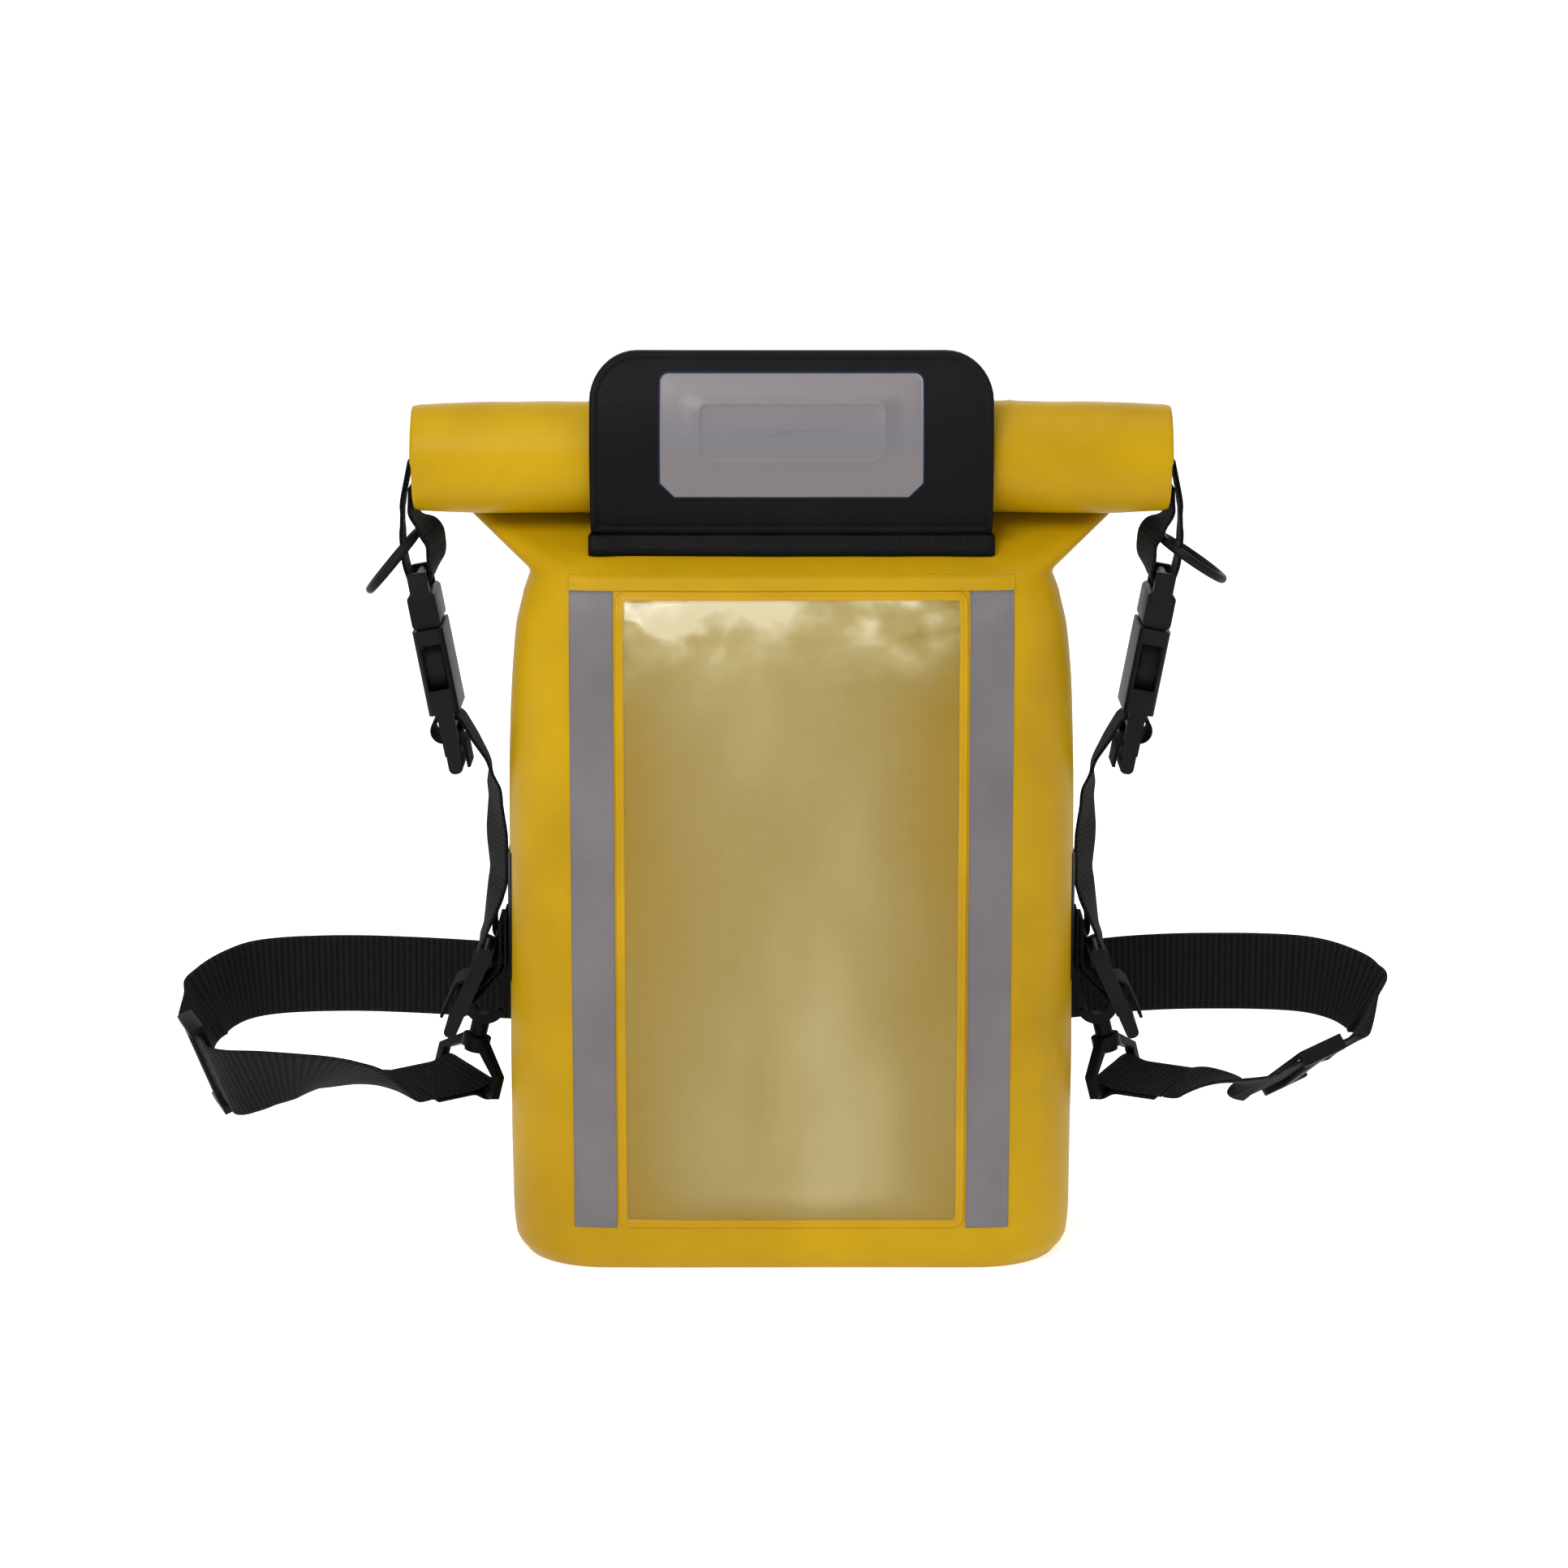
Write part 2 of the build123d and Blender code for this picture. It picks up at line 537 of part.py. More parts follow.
# ---------------------------------------------------------------- write every node
def make_nodes():
    front, back, base = bag_panels()
    nodes = {
        "front_panel": front,
        "back_panel": back,
        "base_panel": base,
        "rolled_mouth": rolled_mouth(),
        "mouth_stiffener": mouth_stiffener(),
        "window_film": skin((-WINDOW_HALF, WINDOW_HALF), (WINDOW_LOW, WINDOW_HIGH), 0.5),
        "window_border": window_border(),
        "pocket_seal_band": seal_band(),
        "flap_base_band": flap_base_band(),
        "roll_loop_tape": roll_loop_tape(),
        "flap_panel": flap_panel(),
        "flap_rim": flap_rim(),
        "flap_label": flap_label(),
        "flap_hook_tape": flap_hook_tape(),
        "belt_webbing_back": belt_back(),
        "back_patch": back_patch(),
    }
    for side in ("left", "right"):
        nodes["reflective_strip_" + side] = on_side(side, reflective_strip())
        nodes["tab_webbing_" + side] = on_side(side, tab_webbing())
        nodes["upper_ring_" + side] = on_side(side, upper_ring(side))
        nodes["buckle_male_" + side] = on_side(side, in_buckle(buckle_male()))
        nodes["buckle_prong_front_" + side] = on_side(side, in_buckle(buckle_prong(-1)))
        nodes["buckle_prong_back_" + side] = on_side(side, in_buckle(buckle_prong(1)))
        nodes["buckle_female_" + side] = on_side(side, in_buckle(buckle_female()))
        nodes["side_strap_" + side] = on_side(side, side_strap())
        nodes["strap_adjuster_" + side] = on_side(side, in_adjuster(strap_adjuster()))
        nodes["strap_anchor_" + side] = on_side(side, strap_anchor())
        nodes["side_patch_" + side] = on_side(side, side_patch())
        nodes["anchor_webbing_" + side] = on_side(side, anchor_webbing())
        nodes["d_ring_" + side] = on_side(side, d_ring())
        nodes["hook_body_" + side] = on_side(side, in_hook(hook_body()))
        nodes["hook_gate_" + side] = on_side(side, in_hook(hook_gate()))
        nodes["swivel_eye_" + side] = on_side(side, swivel_eye(side))
        nodes["belt_end_" + side] = on_side(side, belt_end(side))
        nodes["belt_webbing_" + side] = on_side(side, belt_side(side))
        nodes["belt_slider_" + side] = on_side(side, belt_slider(side))
        nodes["belt_keeper_" + side] = on_side(side, belt_keeper())
    return nodes


os.makedirs("parts", exist_ok=True)
for name, solid in make_nodes().items():
    export_step(solid, "parts/" + name + ".step")
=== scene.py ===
import math

import bpy
import numpy as np
from mathutils import Matrix, Vector, noise


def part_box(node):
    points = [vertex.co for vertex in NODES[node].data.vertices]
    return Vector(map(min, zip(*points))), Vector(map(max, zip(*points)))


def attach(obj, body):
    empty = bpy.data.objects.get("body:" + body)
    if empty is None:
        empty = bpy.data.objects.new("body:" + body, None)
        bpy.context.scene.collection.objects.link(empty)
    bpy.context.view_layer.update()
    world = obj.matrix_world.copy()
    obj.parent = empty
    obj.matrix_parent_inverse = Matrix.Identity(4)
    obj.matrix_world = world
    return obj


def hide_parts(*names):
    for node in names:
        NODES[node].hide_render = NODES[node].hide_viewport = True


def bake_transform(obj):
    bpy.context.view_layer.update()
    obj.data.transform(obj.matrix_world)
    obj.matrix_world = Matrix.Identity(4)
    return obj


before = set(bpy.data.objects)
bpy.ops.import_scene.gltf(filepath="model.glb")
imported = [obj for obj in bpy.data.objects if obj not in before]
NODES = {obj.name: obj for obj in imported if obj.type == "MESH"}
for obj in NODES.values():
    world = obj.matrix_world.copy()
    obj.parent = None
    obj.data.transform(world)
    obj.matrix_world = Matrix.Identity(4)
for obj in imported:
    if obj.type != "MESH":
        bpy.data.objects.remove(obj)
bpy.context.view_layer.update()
SIDES = {"left": -1, "right": 1}
MM = 0.001

# ---------------------------------------------------------------- sizes, in metres, read from the frame
HALF_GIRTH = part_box("rolled_mouth")[1].x
WINDOW_LOW, WINDOW_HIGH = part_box("window_film")
BORDER_LOW, BORDER_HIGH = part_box("window_border")
SEAL_LOW, SEAL_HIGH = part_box("pocket_seal_band")
FLAP_LOW, FLAP_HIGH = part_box("flap_panel")
LABEL_LOW, LABEL_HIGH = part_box("flap_label")
BAND_LOW, BAND_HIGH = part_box("flap_base_band")


# ---------------------------------------------------------------- material helpers
class Look:
    """A material or world being built, with the few kinds of node that these use."""

    def __init__(self, owner, output="Principled BSDF"):
        owner.use_nodes = True
        self.owner = owner
        self.nodes, self.links = owner.node_tree.nodes, owner.node_tree.links
        self.output = self.nodes[output]

    def node(self, kind, **values):
        """A node with its sockets or settings filled in; a socket takes a number, a colour or another node's output."""
        node = self.nodes.new(kind)
        for key, value in values.items():
            if key in node.inputs:
                self.fill(node.inputs[key], value)
            else:
                setattr(node, key, value)
        return node

    def fill(self, socket, value):
        if isinstance(value, bpy.types.NodeSocket):
            self.links.new(value, socket)
        else:
            socket.default_value = value

    def set(self, **values):
        """Fill the output shader's sockets: Base_Color is the one called Base Color."""
        for key, value in values.items():
            self.fill(self.output.inputs[key.replace("_", " ")], value)

    def mapped(self, vector, scale):
        return self.node("ShaderNodeMapping", Vector=vector, Scale=scale).outputs["Vector"]

    def position(self, scale=(1, 1, 1)):
        """Object coordinates in metres, stretched by scale."""
        return self.mapped(self.node("ShaderNodeTexCoord").outputs["Object"], scale)

    def run_position(self):
        """The piece's own coordinates along and across, in metres."""
        return self.node("ShaderNodeUVMap", uv_map="Run").outputs["UV"]

    def x_and_z(self, vector):
        parts = self.node("ShaderNodeSeparateXYZ", Vector=vector).outputs
        return parts["X"], parts["Z"]

    def noise(self, vector, scale, detail=3.0, rough=0.55):
        node = self.node("ShaderNodeTexNoise", Vector=vector, Scale=scale, Detail=detail, Roughness=rough)
        return node.outputs["Fac"]

    def wave(self, vector, scale, direction):
        node = self.node("ShaderNodeTexWave", Vector=vector, Scale=scale, bands_direction=direction)
        return node.outputs["Fac"]

    def ramp(self, factor, *stops):
        node = self.node("ShaderNodeValToRGB", Fac=factor)
        elements = node.color_ramp.elements
        elements[0].position, elements[0].color = stops[0][0], (*stops[0][1], 1)
        elements[1].position, elements[1].color = stops[-1][0], (*stops[-1][1], 1)
        for place, color in stops[1:-1]:
            elements.new(place).color = (*color, 1)
        return node.outputs["Color"]

    def between(self, value, low, high):
        """value from 0 to 1, taken to low to high."""
        node = self.node("ShaderNodeMapRange", Value=value)
        node.inputs["To Min"].default_value, node.inputs["To Max"].default_value = low, high
        return node.outputs["Result"]

    def share(self, value, low, high, smooth=True):
        """0 at low, 1 at high."""
        node = self.node("ShaderNodeMapRange", Value=value, interpolation_type="SMOOTHSTEP" if smooth else "LINEAR")
        node.inputs["From Min"].default_value, node.inputs["From Max"].default_value = low, high
        return node.outputs["Result"]

    def combine(self, operation, first, *others):
        """The operation applied from left to right."""
        for other in others:
            node = self.node("ShaderNodeMath", operation=operation)
            self.fill(node.inputs[0], first)
            self.fill(node.inputs[1], other)
            first = node.outputs["Value"]
        return first

    def bump(self, height, distance, strength=1.0, below=None):
        node = self.node("ShaderNodeBump", Height=height, Distance=distance, Strength=strength)
        if below is not None:
            self.fill(node.inputs["Normal"], below)
        return node.outputs["Normal"]


def new_look(name):
    return Look(bpy.data.materials.new(name))


# ---------------------------------------------------------------- materials
def coated_fabric(name, colors, roughness=(0.38, 0.52), scrim=0.00002, coat=0.03):
    """Coated fabric: faint square weave, soft gloss and slow colour drift. colors: dark, middle, light."""
    look = new_look(name)
    place = look.position()
    drift = look.noise(place, 14.0, 4.0)
    weave = look.combine("ADD", look.wave(place, 260.0, "X"), look.wave(place, 260.0, "Z"))
    weave = look.combine("ADD", weave, look.combine("MULTIPLY", look.noise(place, 900.0, 2.0), 0.7))
    creases = look.bump(look.noise(place, 38.0, 5.0, 0.6), 0.0012, 0.35)
    look.set(
        Base_Color=look.ramp(drift, *zip((0.3, 0.5, 0.72), colors)),
        Roughness=look.between(drift, *roughness),
        Normal=look.bump(weave, scrim, 1.0, creases),
        Specular_IOR_Level=0.09, Coat_Weight=coat, Coat_Roughness=0.28,
    )
    return look.owner


def clear_film():
    """Frosted clear vinyl: milky haze, thinner and golden towards its sides, with a painted reflection near its top: a
    pale band, brightest at the two upper corners.
    """
    look = new_look("window_clear")
    place = look.position()
    x, z = look.x_and_z(place)
    haze = look.noise(look.position((1, 1, 0.55)), 15.0, 2.5, 0.5)
    across = look.combine("ABSOLUTE", x, 0.0)
    inside = look.share(across, WINDOW_HIGH.x + 0.006, WINDOW_HIGH.x - 0.042)
    foot = look.share(z, WINDOW_LOW.z - 0.004, WINDOW_LOW.z + 0.012)
    level = look.combine("SUBTRACT", look.combine("ADD", look.combine("MULTIPLY", inside, foot, 0.5), haze), 0.28)
    # Painted reflection: a noise mask, a band along the film's top and a rise towards its two upper corners lift the
    # level into the ramp's pale stops. They stand in for the lamps' glints on the film.
    painted_glint_noise = look.share(look.noise(look.position((1, 1, 1.3)), 48.0, 2.5, 0.55), 0.12, 0.95)
    top = look.share(z, WINDOW_HIGH.z - 0.045, WINDOW_HIGH.z - 0.002)
    corner = look.combine("ADD", look.share(across, WINDOW_HIGH.x - 0.045, WINDOW_HIGH.x - 0.008), 0.75)
    level = look.combine("ADD", level, look.combine("MULTIPLY", top, corner, painted_glint_noise, 0.55))
    # the two palest stops colour the painted glint near the top
    color = look.ramp(
        level, (0.05, (0.315, 0.178, 0.005)), (0.30, (0.305, 0.205, 0.026)), (0.60, (0.325, 0.240, 0.064)),
        (0.85, (0.40, 0.32, 0.13)), (1.0, (0.56, 0.49, 0.30)),
    )
    ripple = look.bump(look.noise(place, 30.0, 3.0), 0.0022, 0.6)
    look.set(
        Base_Color=color,
        Alpha=look.between(level, 0.30, 0.80),
        Roughness=look.between(haze, 0.12, 0.3),
        Normal=look.bump(look.noise(place, 1400.0, 2.0), 0.000003, 0.6, ripple),
        Specular_IOR_Level=0.3, Coat_Weight=0.4, Coat_Roughness=0.08,
    )
    look.owner.surface_render_method = "DITHERED"
    return look.owner


def black_sheet(name, low, high, grain_scale=700.0, grain=0.00008, roughness=(0.42, 0.58)):
    """Grained rubbery sheet."""
    look = new_look(name)
    place = look.position()
    drift = look.noise(place, 18.0, 4.0)
    cells = look.node("ShaderNodeTexVoronoi", Vector=place, Scale=grain_scale).outputs["Distance"]
    look.set(
        Base_Color=look.ramp(drift, (0.3, low), (0.7, high)),
        Roughness=look.between(drift, *roughness),
        Normal=look.bump(look.combine("ADD", cells, look.noise(place, 320.0, 3.0)), grain),
        Specular_IOR_Level=0.06,
    )
    return look.owner


def webbing(name, low, high, rib=2.1):
    """Woven webbing: ribs across, fine twill along, slightly fuzzy. rib is in mm."""
    look = new_look(name)
    ribs = look.wave(look.run_position(), 1000.0 / (math.pi * rib), "X")
    rows = look.wave(look.run_position(), 330.0, "Y")
    fuzz = look.noise(look.position(), 1600.0, 2.0)
    weave = look.combine("MULTIPLY", look.combine("ADD", ribs, rows), 0.35)
    tone = look.combine("ADD", weave, look.combine("MULTIPLY", fuzz, 0.4))
    look.set(
        Base_Color=look.ramp(tone, (0.2, low), (0.85, high)),
        Roughness=look.between(fuzz, 0.62, 0.82),
        Normal=look.bump(tone, 0.0004, 0.9),
        Specular_IOR_Level=0.04, Sheen_Weight=0.02, Sheen_Roughness=0.4,
    )
    return look.owner


def moulded_plastic():
    """Black moulded plastic with a fine grain."""
    look = new_look("plastic_black")
    place = look.position()
    drift = look.noise(place, 60.0, 3.0)
    look.set(
        Base_Color=look.ramp(drift, (0.3, (0.0028, 0.0028, 0.0032)), (0.75, (0.0068, 0.0068, 0.0078))),
        Roughness=look.between(drift, 0.4, 0.54),
        Normal=look.bump(look.noise(place, 2200.0, 2.0), 0.00002),
        Specular_IOR_Level=0.09,
    )
    return look.owner


def reflective_tape():
    """Grey tape with a fine diamond pattern."""
    look = new_look("reflective_grey")
    place = look.position()
    drift = look.noise(place, 22.0, 4.0)
    rising, falling = (look.wave(p, 190.0, "DIAGONAL") for p in (place, look.position((1, 1, -1))))
    diamonds = look.combine("MULTIPLY", rising, falling)
    look.set(
        Base_Color=look.ramp(drift, (0.3, (0.104, 0.093, 0.100)), (0.7, (0.134, 0.121, 0.129))),
        Roughness=look.between(diamonds, 0.5, 0.66),
        Normal=look.bump(diamonds, 0.00008),
        Specular_IOR_Level=0.2, Sheen_Weight=0.2,
    )
    return look.owner


def label_sheet():
    """Grey rubbery label with a faint cooler band half way up."""
    look = new_look("label_grey")
    place = look.position()
    height = look.share(look.x_and_z(place)[1], LABEL_LOW.z, LABEL_HIGH.z, smooth=False)
    level = look.combine("ADD", height, look.combine("MULTIPLY", look.noise(place, 30.0), 0.12))
    grey, cool = (0.124, 0.110, 0.117), (0.116, 0.115, 0.132)
    fine = look.noise(place, 1300.0, 2.0)
    look.set(
        Base_Color=look.ramp(level, (0.0, grey), (0.45, grey), (0.58, cool), (0.72, grey), (1.0, grey)),
        Roughness=look.between(fine, 0.36, 0.5),
        Normal=look.bump(fine, 0.00005),
    )
    return look.owner


MATERIALS = {}


def make_materials():
    MATERIALS.update(
        yellow=coated_fabric("coated_yellow", [(0.315, 0.180, 0.0008), (0.370, 0.218, 0.0010), (0.425, 0.255, 0.0014)]),
        border=coated_fabric(
            "border_yellow", [(0.33, 0.180, 0.0008), (0.385, 0.215, 0.0010), (0.44, 0.250, 0.0014)],
            (0.30, 0.42), 0.00003, 0.10,
        ),
        film=clear_film(),
        flap=black_sheet("flap_black", (0.0026, 0.0026, 0.0030), (0.0052, 0.0052, 0.0060)),
        label=label_sheet(),
        label_edge=black_sheet("label_edge", (0.006, 0.007, 0.016), (0.010, 0.012, 0.024)),
        webbing=webbing("webbing_black", (0.0012, 0.0012, 0.0014), (0.0105, 0.0105, 0.0115)),
        belt=webbing("webbing_belt", (0.0014, 0.0014, 0.0016), (0.0135, 0.0135, 0.0148), 2.4),
        thread=black_sheet("thread_black", (0.008, 0.008, 0.009), (0.020, 0.020, 0.022), 2500.0),
        plastic=moulded_plastic(),
        strip=reflective_tape(),
        tape=black_sheet("tape_black", (0.003, 0.003, 0.0034), (0.009, 0.009, 0.010), 1500.0, 0.0004, (0.8, 0.95)),
        patch=coated_fabric(
            "patch_black", [(0.005, 0.005, 0.0055), (0.008, 0.008, 0.009), (0.012, 0.012, 0.013)],
            (0.5, 0.66), 0.00014, 0.05,
        ),
    )


# ---------------------------------------------------------------- mesh helpers
def make_mesh(name, points, faces, material, uvs=None):
    """A mesh object from points and faces; uvs, where given, is one pair for each point."""
    mesh = bpy.data.meshes.new(name)
    mesh.from_pydata([tuple(p) for p in points], [], faces)
    if uvs is not None:
        layer = mesh.uv_layers.new(name="Run")
        for loop in mesh.loops:
            layer.data[loop.index].uv = uvs[loop.vertex_index]
    shade_smooth(mesh)
    mesh.update()
    obj = bpy.data.objects.new(name, mesh)
    bpy.context.scene.collection.objects.link(obj)
    if material is not None:
        obj.data.materials.append(material)
    return obj


def shade_smooth(mesh):
    mesh.polygons.foreach_set("use_smooth", [True] * len(mesh.polygons))


def noise_at(x, y, z):
    return noise.noise(Vector((x, y, z)))


def grid_faces(rows, columns, wrap=False, first=0):
    faces = []
    for r in range(rows - 1):
        for c in range(columns if wrap else columns - 1):
            d = (c + 1) % columns
            a, b = first + r * columns, first + (r + 1) * columns
            faces.append((a + c, a + d, b + d, b + c))
    return faces


def blend_curve(x, points):
    """Smooth value through a sorted table of (x, value) pairs."""
    xs = [p[0] for p in points]
    i = int(np.clip(np.searchsorted(xs, x) - 1, 0, len(points) - 2))
    x0, x1 = xs[i], xs[i + 1]
    t = min(1.0, max(0.0, (x - x0) / (x1 - x0)))
    before, after = points[max(i - 1, 0)], points[min(i + 2, len(points) - 1)]
    m0 = (points[i + 1][1] - before[1]) / max(1e-9, points[i + 1][0] - before[0])
    m1 = (after[1] - points[i][1]) / max(1e-9, after[0] - points[i][0])
    h = x1 - x0
    return (
        (2 * t ** 3 - 3 * t ** 2 + 1) * points[i][1] + (t ** 3 - 2 * t ** 2 + t) * h * m0
        + (-2 * t ** 3 + 3 * t ** 2) * points[i + 1][1] + (t ** 3 - t ** 2) * h * m1
    )


def smooth_step(x, low, high):
    t = min(1.0, max(0.0, (x - low) / (high - low)))
    return t * t * (3 - 2 * t)


def solid_sheet(name, surface, rows, columns, thickness, material, edge=0.0):
    """Closed sheet: surface(u, v) gives a point and an outward normal, thickness lies outside it."""
    points, uvs = [], []
    for layer in (0.0, 1.0):
        for r in range(rows):
            for c in range(columns):
                u, v = c / (columns - 1), r / (rows - 1)
                p, n = surface(u, v)
                rim = min(u, 1 - u, v, 1 - v)
                lift = thickness * layer if rim > 0 else thickness * layer * (1 - edge)
                points.append(Vector(p) + Vector(n) * lift)
                uvs.append((u, v))
    count = rows * columns
    faces = [tuple(reversed(f)) for f in grid_faces(rows, columns)] + grid_faces(rows, columns, first=count)
    border = [r * columns for r in range(rows)] + [(rows - 1) * columns + c for c in range(1, columns)]
    border += [r * columns + columns - 1 for r in range(rows - 2, -1, -1)]
    border += [c for c in range(columns - 2, 0, -1)]
    for i, a in enumerate(border):
        b = border[(i + 1) % len(border)]
        faces.append((a, b, b + count, a + count))
    return make_mesh(name, points, faces, material, uvs)


# ---------------------------------------------------------------- the bag's surface
SHOULDER_Z = 258.0
# Level, half width, half depth, corner radius and middle in depth, as the panels' solids have them, in mm.
SECTIONS = [
    (0.0, 99.0, 43.0, 31.0, 0.0),
    (6.0, 103.0, 47.0, 34.0, 0.0),
    (30.0, 104.0, 48.0, 34.0, 0.0),
    (120.0, 104.0, 48.5, 34.0, 0.0),
    (200.0, 103.0, 48.0, 34.0, 0.0),
    (235.0, 100.6, 46.0, 30.0, 0.0),
    (250.0, 97.2, 42.5, 26.0, 0.0),
    (258.0, 95.8, 37.0, 22.0, 0.0),
    (281.0, 125.5, 6.0, 5.0, 14.0),
    (295.5, 137.5, 1.0, 0.9, 14.0),
]
# Shares of the outline's points that its straights and corners take, once round from the back's middle.
OUTLINE_SHARES = [0.115, 0.07, 0.13, 0.07, 0.23, 0.07, 0.13, 0.07, 0.115]
BAG_COLUMNS, BASE_RINGS, BASE_SAG = 300, 9, 0.7
# Folds and dents: from, to (x, z in mm), half width, height in mm, on the front.
FRONT_FOLDS = [
    ((-96, 262), (-60, 246), 5.0, -1.1), ((-88, 252), (-52, 240), 4.0, 0.9), ((96, 262), (62, 246), 5.0, -1.0),
    ((90, 250), (56, 238), 4.0, 0.8), ((-98, 60), (-72, 20), 6.0, -1.0), ((98, 66), (70, 22), 6.0, -1.0),
    ((-92, 190), (-86, 120), 6.0, -0.9), ((92, 200), (87, 110), 6.0, -0.9), ((-60, 12), (60, 12), 5.0, 0.5),
    ((-40, 252), (10, 256), 4.0, 0.6), ((88, 100), (94, 40), 5.0, 0.7), ((-94, 110), (-88, 50), 5.0, 0.7),
    ((-80, 270), (-40, 262), 4.0, 0.7), ((84, 271), (44, 262), 4.0, 0.7), ((-14, 262), (26, 268), 4.0, -0.6),
]
BACK_FOLDS = [
    ((-96, 258), (-40, 236), 6.0, -1.0), ((96, 258), (44, 232), 6.0, -1.0), ((-90, 40), (-50, 14), 6.0, -0.9),
    ((90, 44), (52, 14), 6.0, -0.9), ((-70, 160), (-20, 172), 9.0, -0.7), ((20, 196), (76, 182), 9.0, -0.7),
]


def fold_height(x, z, folds):
    """Sum of soft ridges and valleys that lie along short lines."""
    total = 0.0
    for (x0, z0), (x1, z1), width, height in folds:
        dx, dz = x1 - x0, z1 - z0
        t = min(1.0, max(0.0, ((x - x0) * dx + (z - z0) * dz) / (dx * dx + dz * dz)))
        away = math.hypot(x - x0 - t * dx, z - z0 - t * dz)
        fade = math.sin(math.pi * (0.12 + 0.76 * t))
        total += height * fade * math.exp(-((away / width) ** 2))
    return total


def section(z):
    return [blend_curve(z, [(row[0], row[i]) for row in SECTIONS]) for i in range(1, 5)]


def section_at(z):
    """Half width, half depth, radius and middle at a level, with the shoulder's fold kept crisp."""
    for low, high in zip(SECTIONS, SECTIONS[1:]):
        if SHOULDER_Z <= low[0] <= z <= high[0]:
            t = (z - low[0]) / (high[0] - low[0])
            return [a + (b - a) * t for a, b in zip(low[1:], high[1:])]
    return section(z)


def outline_point(t, z):
    """Point and outward direction on the bag's outline at level z; t goes once round from the back's middle."""
    half_x, half_y, radius, middle = section_at(z)
    flat_x, flat_y = half_x - radius, half_y - radius
    i, start = 0, 0.0
    while i < len(OUTLINE_SHARES) - 1 and t > start + OUTLINE_SHARES[i]:
        start += OUTLINE_SHARES[i]
        i += 1
    s = (t - start) / OUTLINE_SHARES[i]
    centres = {1: (flat_x, flat_y), 3: (flat_x, -flat_y), 5: (-flat_x, -flat_y), 7: (-flat_x, flat_y)}
    if i in centres:
        angle = math.pi / 2 - (i - 1) / 2 * math.pi / 2 - s * math.pi / 2
        n = (math.cos(angle), math.sin(angle))
        return (centres[i][0] + radius * n[0], centres[i][1] + radius * n[1] + middle), n
    if i == 0:
        return (s * flat_x, half_y + middle), (0, 1)
    if i == 2:
        return (half_x, flat_y - 2 * flat_y * s + middle), (1, 0)
    if i == 4:
        return (flat_x - 2 * flat_x * s, -half_y + middle), (0, -1)
    if i == 6:
        return (-half_x, -flat_y + 2 * flat_y * s + middle), (-1, 0)
    return (-flat_x + s * flat_x, half_y + middle), (0, 1)


def relief(x, z, facing):
    """How far the fabric stands proud of the plain form, in mm; facing is -1 front, 0 side, 1 back."""
    body = smooth_step(z, 4, 40) * (1 - smooth_step(z, 225, 262))
    slow = noise_at(x * 0.014, z * 0.014, 3.1 + facing) * 1.1
    quick = noise_at(x * 0.045, z * 0.03, 7.7 + facing) * 0.45
    if facing < 0:
        crown = 2.4 * max(0.0, 1 - (x / 80.0) ** 2) * body
        return crown + (slow + quick) * (0.35 + 0.65 * body) + fold_height(x, z, FRONT_FOLDS)
    if facing > 0:
        return 0.5 * (slow + quick) * body + fold_height(x, z, BACK_FOLDS) * (1 - 0.9 * (50 < z < 120))
    return (0.4 * slow + 0.6 * quick) * body


def bag_point(t, z):
    """Finished point of the bag's wall and its outward direction, in mm."""
    (x, y), (nx, ny) = outline_point(t, z)
    front = relief(x, z, -1) * max(0.0, -ny) ** 2
    back = relief(x, z, 1) * max(0.0, ny) ** 2
    side = relief(y + (200 if nx > 0 else -200), z, 0) * nx * nx
    lift = (front + back + side) * (1 - smooth_step(z, 284, 294))
    return (x + nx * lift, y + ny * lift, z), (nx, ny, 0.0)


def wall_y(x, z, facing):
    """Surface of the front (-1) or back (1) wall at x and z, in mm, and its outward direction in plan."""
    half_x, half_y, radius, middle = section_at(z)
    over = min(max(abs(x) - (half_x - radius), 0.0), radius * 0.999)
    rise = math.sqrt(radius * radius - over * over)
    n = (math.copysign(over / radius, x), facing * rise / radius)
    return facing * (half_y - radius + rise) + middle + n[1] * relief(x, z, facing) * n[1] ** 2, n


def make_bag():
    """Panels as one welded shell: wall, base with its folded foot, and the neck up to the roll."""
    columns = BAG_COLUMNS
    levels = [0.0, 1.5, 3.5, 6.0]
    levels += [6 + (256 - 6) * i / 120 for i in range(1, 121)]
    levels += [257, 258, 259] + [259 + (295.5 - 259) * i / 22 for i in range(1, 23)]
    points = [Vector(bag_point(c / columns, z)[0]) * MM for z in levels for c in range(columns)]
    faces = grid_faces(len(levels), columns, wrap=True)
    first = len(points)
    for ring in range(1, BASE_RINGS):
        shrink = 1 - ring / BASE_RINGS
        for c in range(columns):
            x, y, _ = bag_point(c / columns, 0.0)[0]
            points.append(Vector((x * shrink, y * shrink, BASE_SAG * (1 - shrink ** 2))) * MM)
    base_rows = [list(range(columns))]
    base_rows += [[first + r * columns + c for c in range(columns)] for r in range(BASE_RINGS - 1)]
    for upper, lower in zip(base_rows, base_rows[1:]):
        for c in range(columns):
            d = (c + 1) % columns
            faces.append((upper[d], upper[c], lower[c], lower[d]))
    points.append(Vector((0, 0, BASE_SAG)) * MM)
    for c in range(columns):
        faces.append((base_rows[-1][(c + 1) % columns], base_rows[-1][c], len(points) - 1))
    bag = make_mesh("bag_shell", points, faces, MATERIALS["yellow"])
    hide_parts("front_panel", "back_panel", "base_panel")
    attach(bag, "bag")
    return bag


# ---------------------------------------------------------------- rolled mouth
ROLL_RADIUS = 20.0
ROLL_STEP = 2.5
ROLL_CENTRE = (-6.0, 295.5)
HALF_TURNS = 7
ROLL_SHEET = 0.95
ROLL_SEAM_X = 79.5


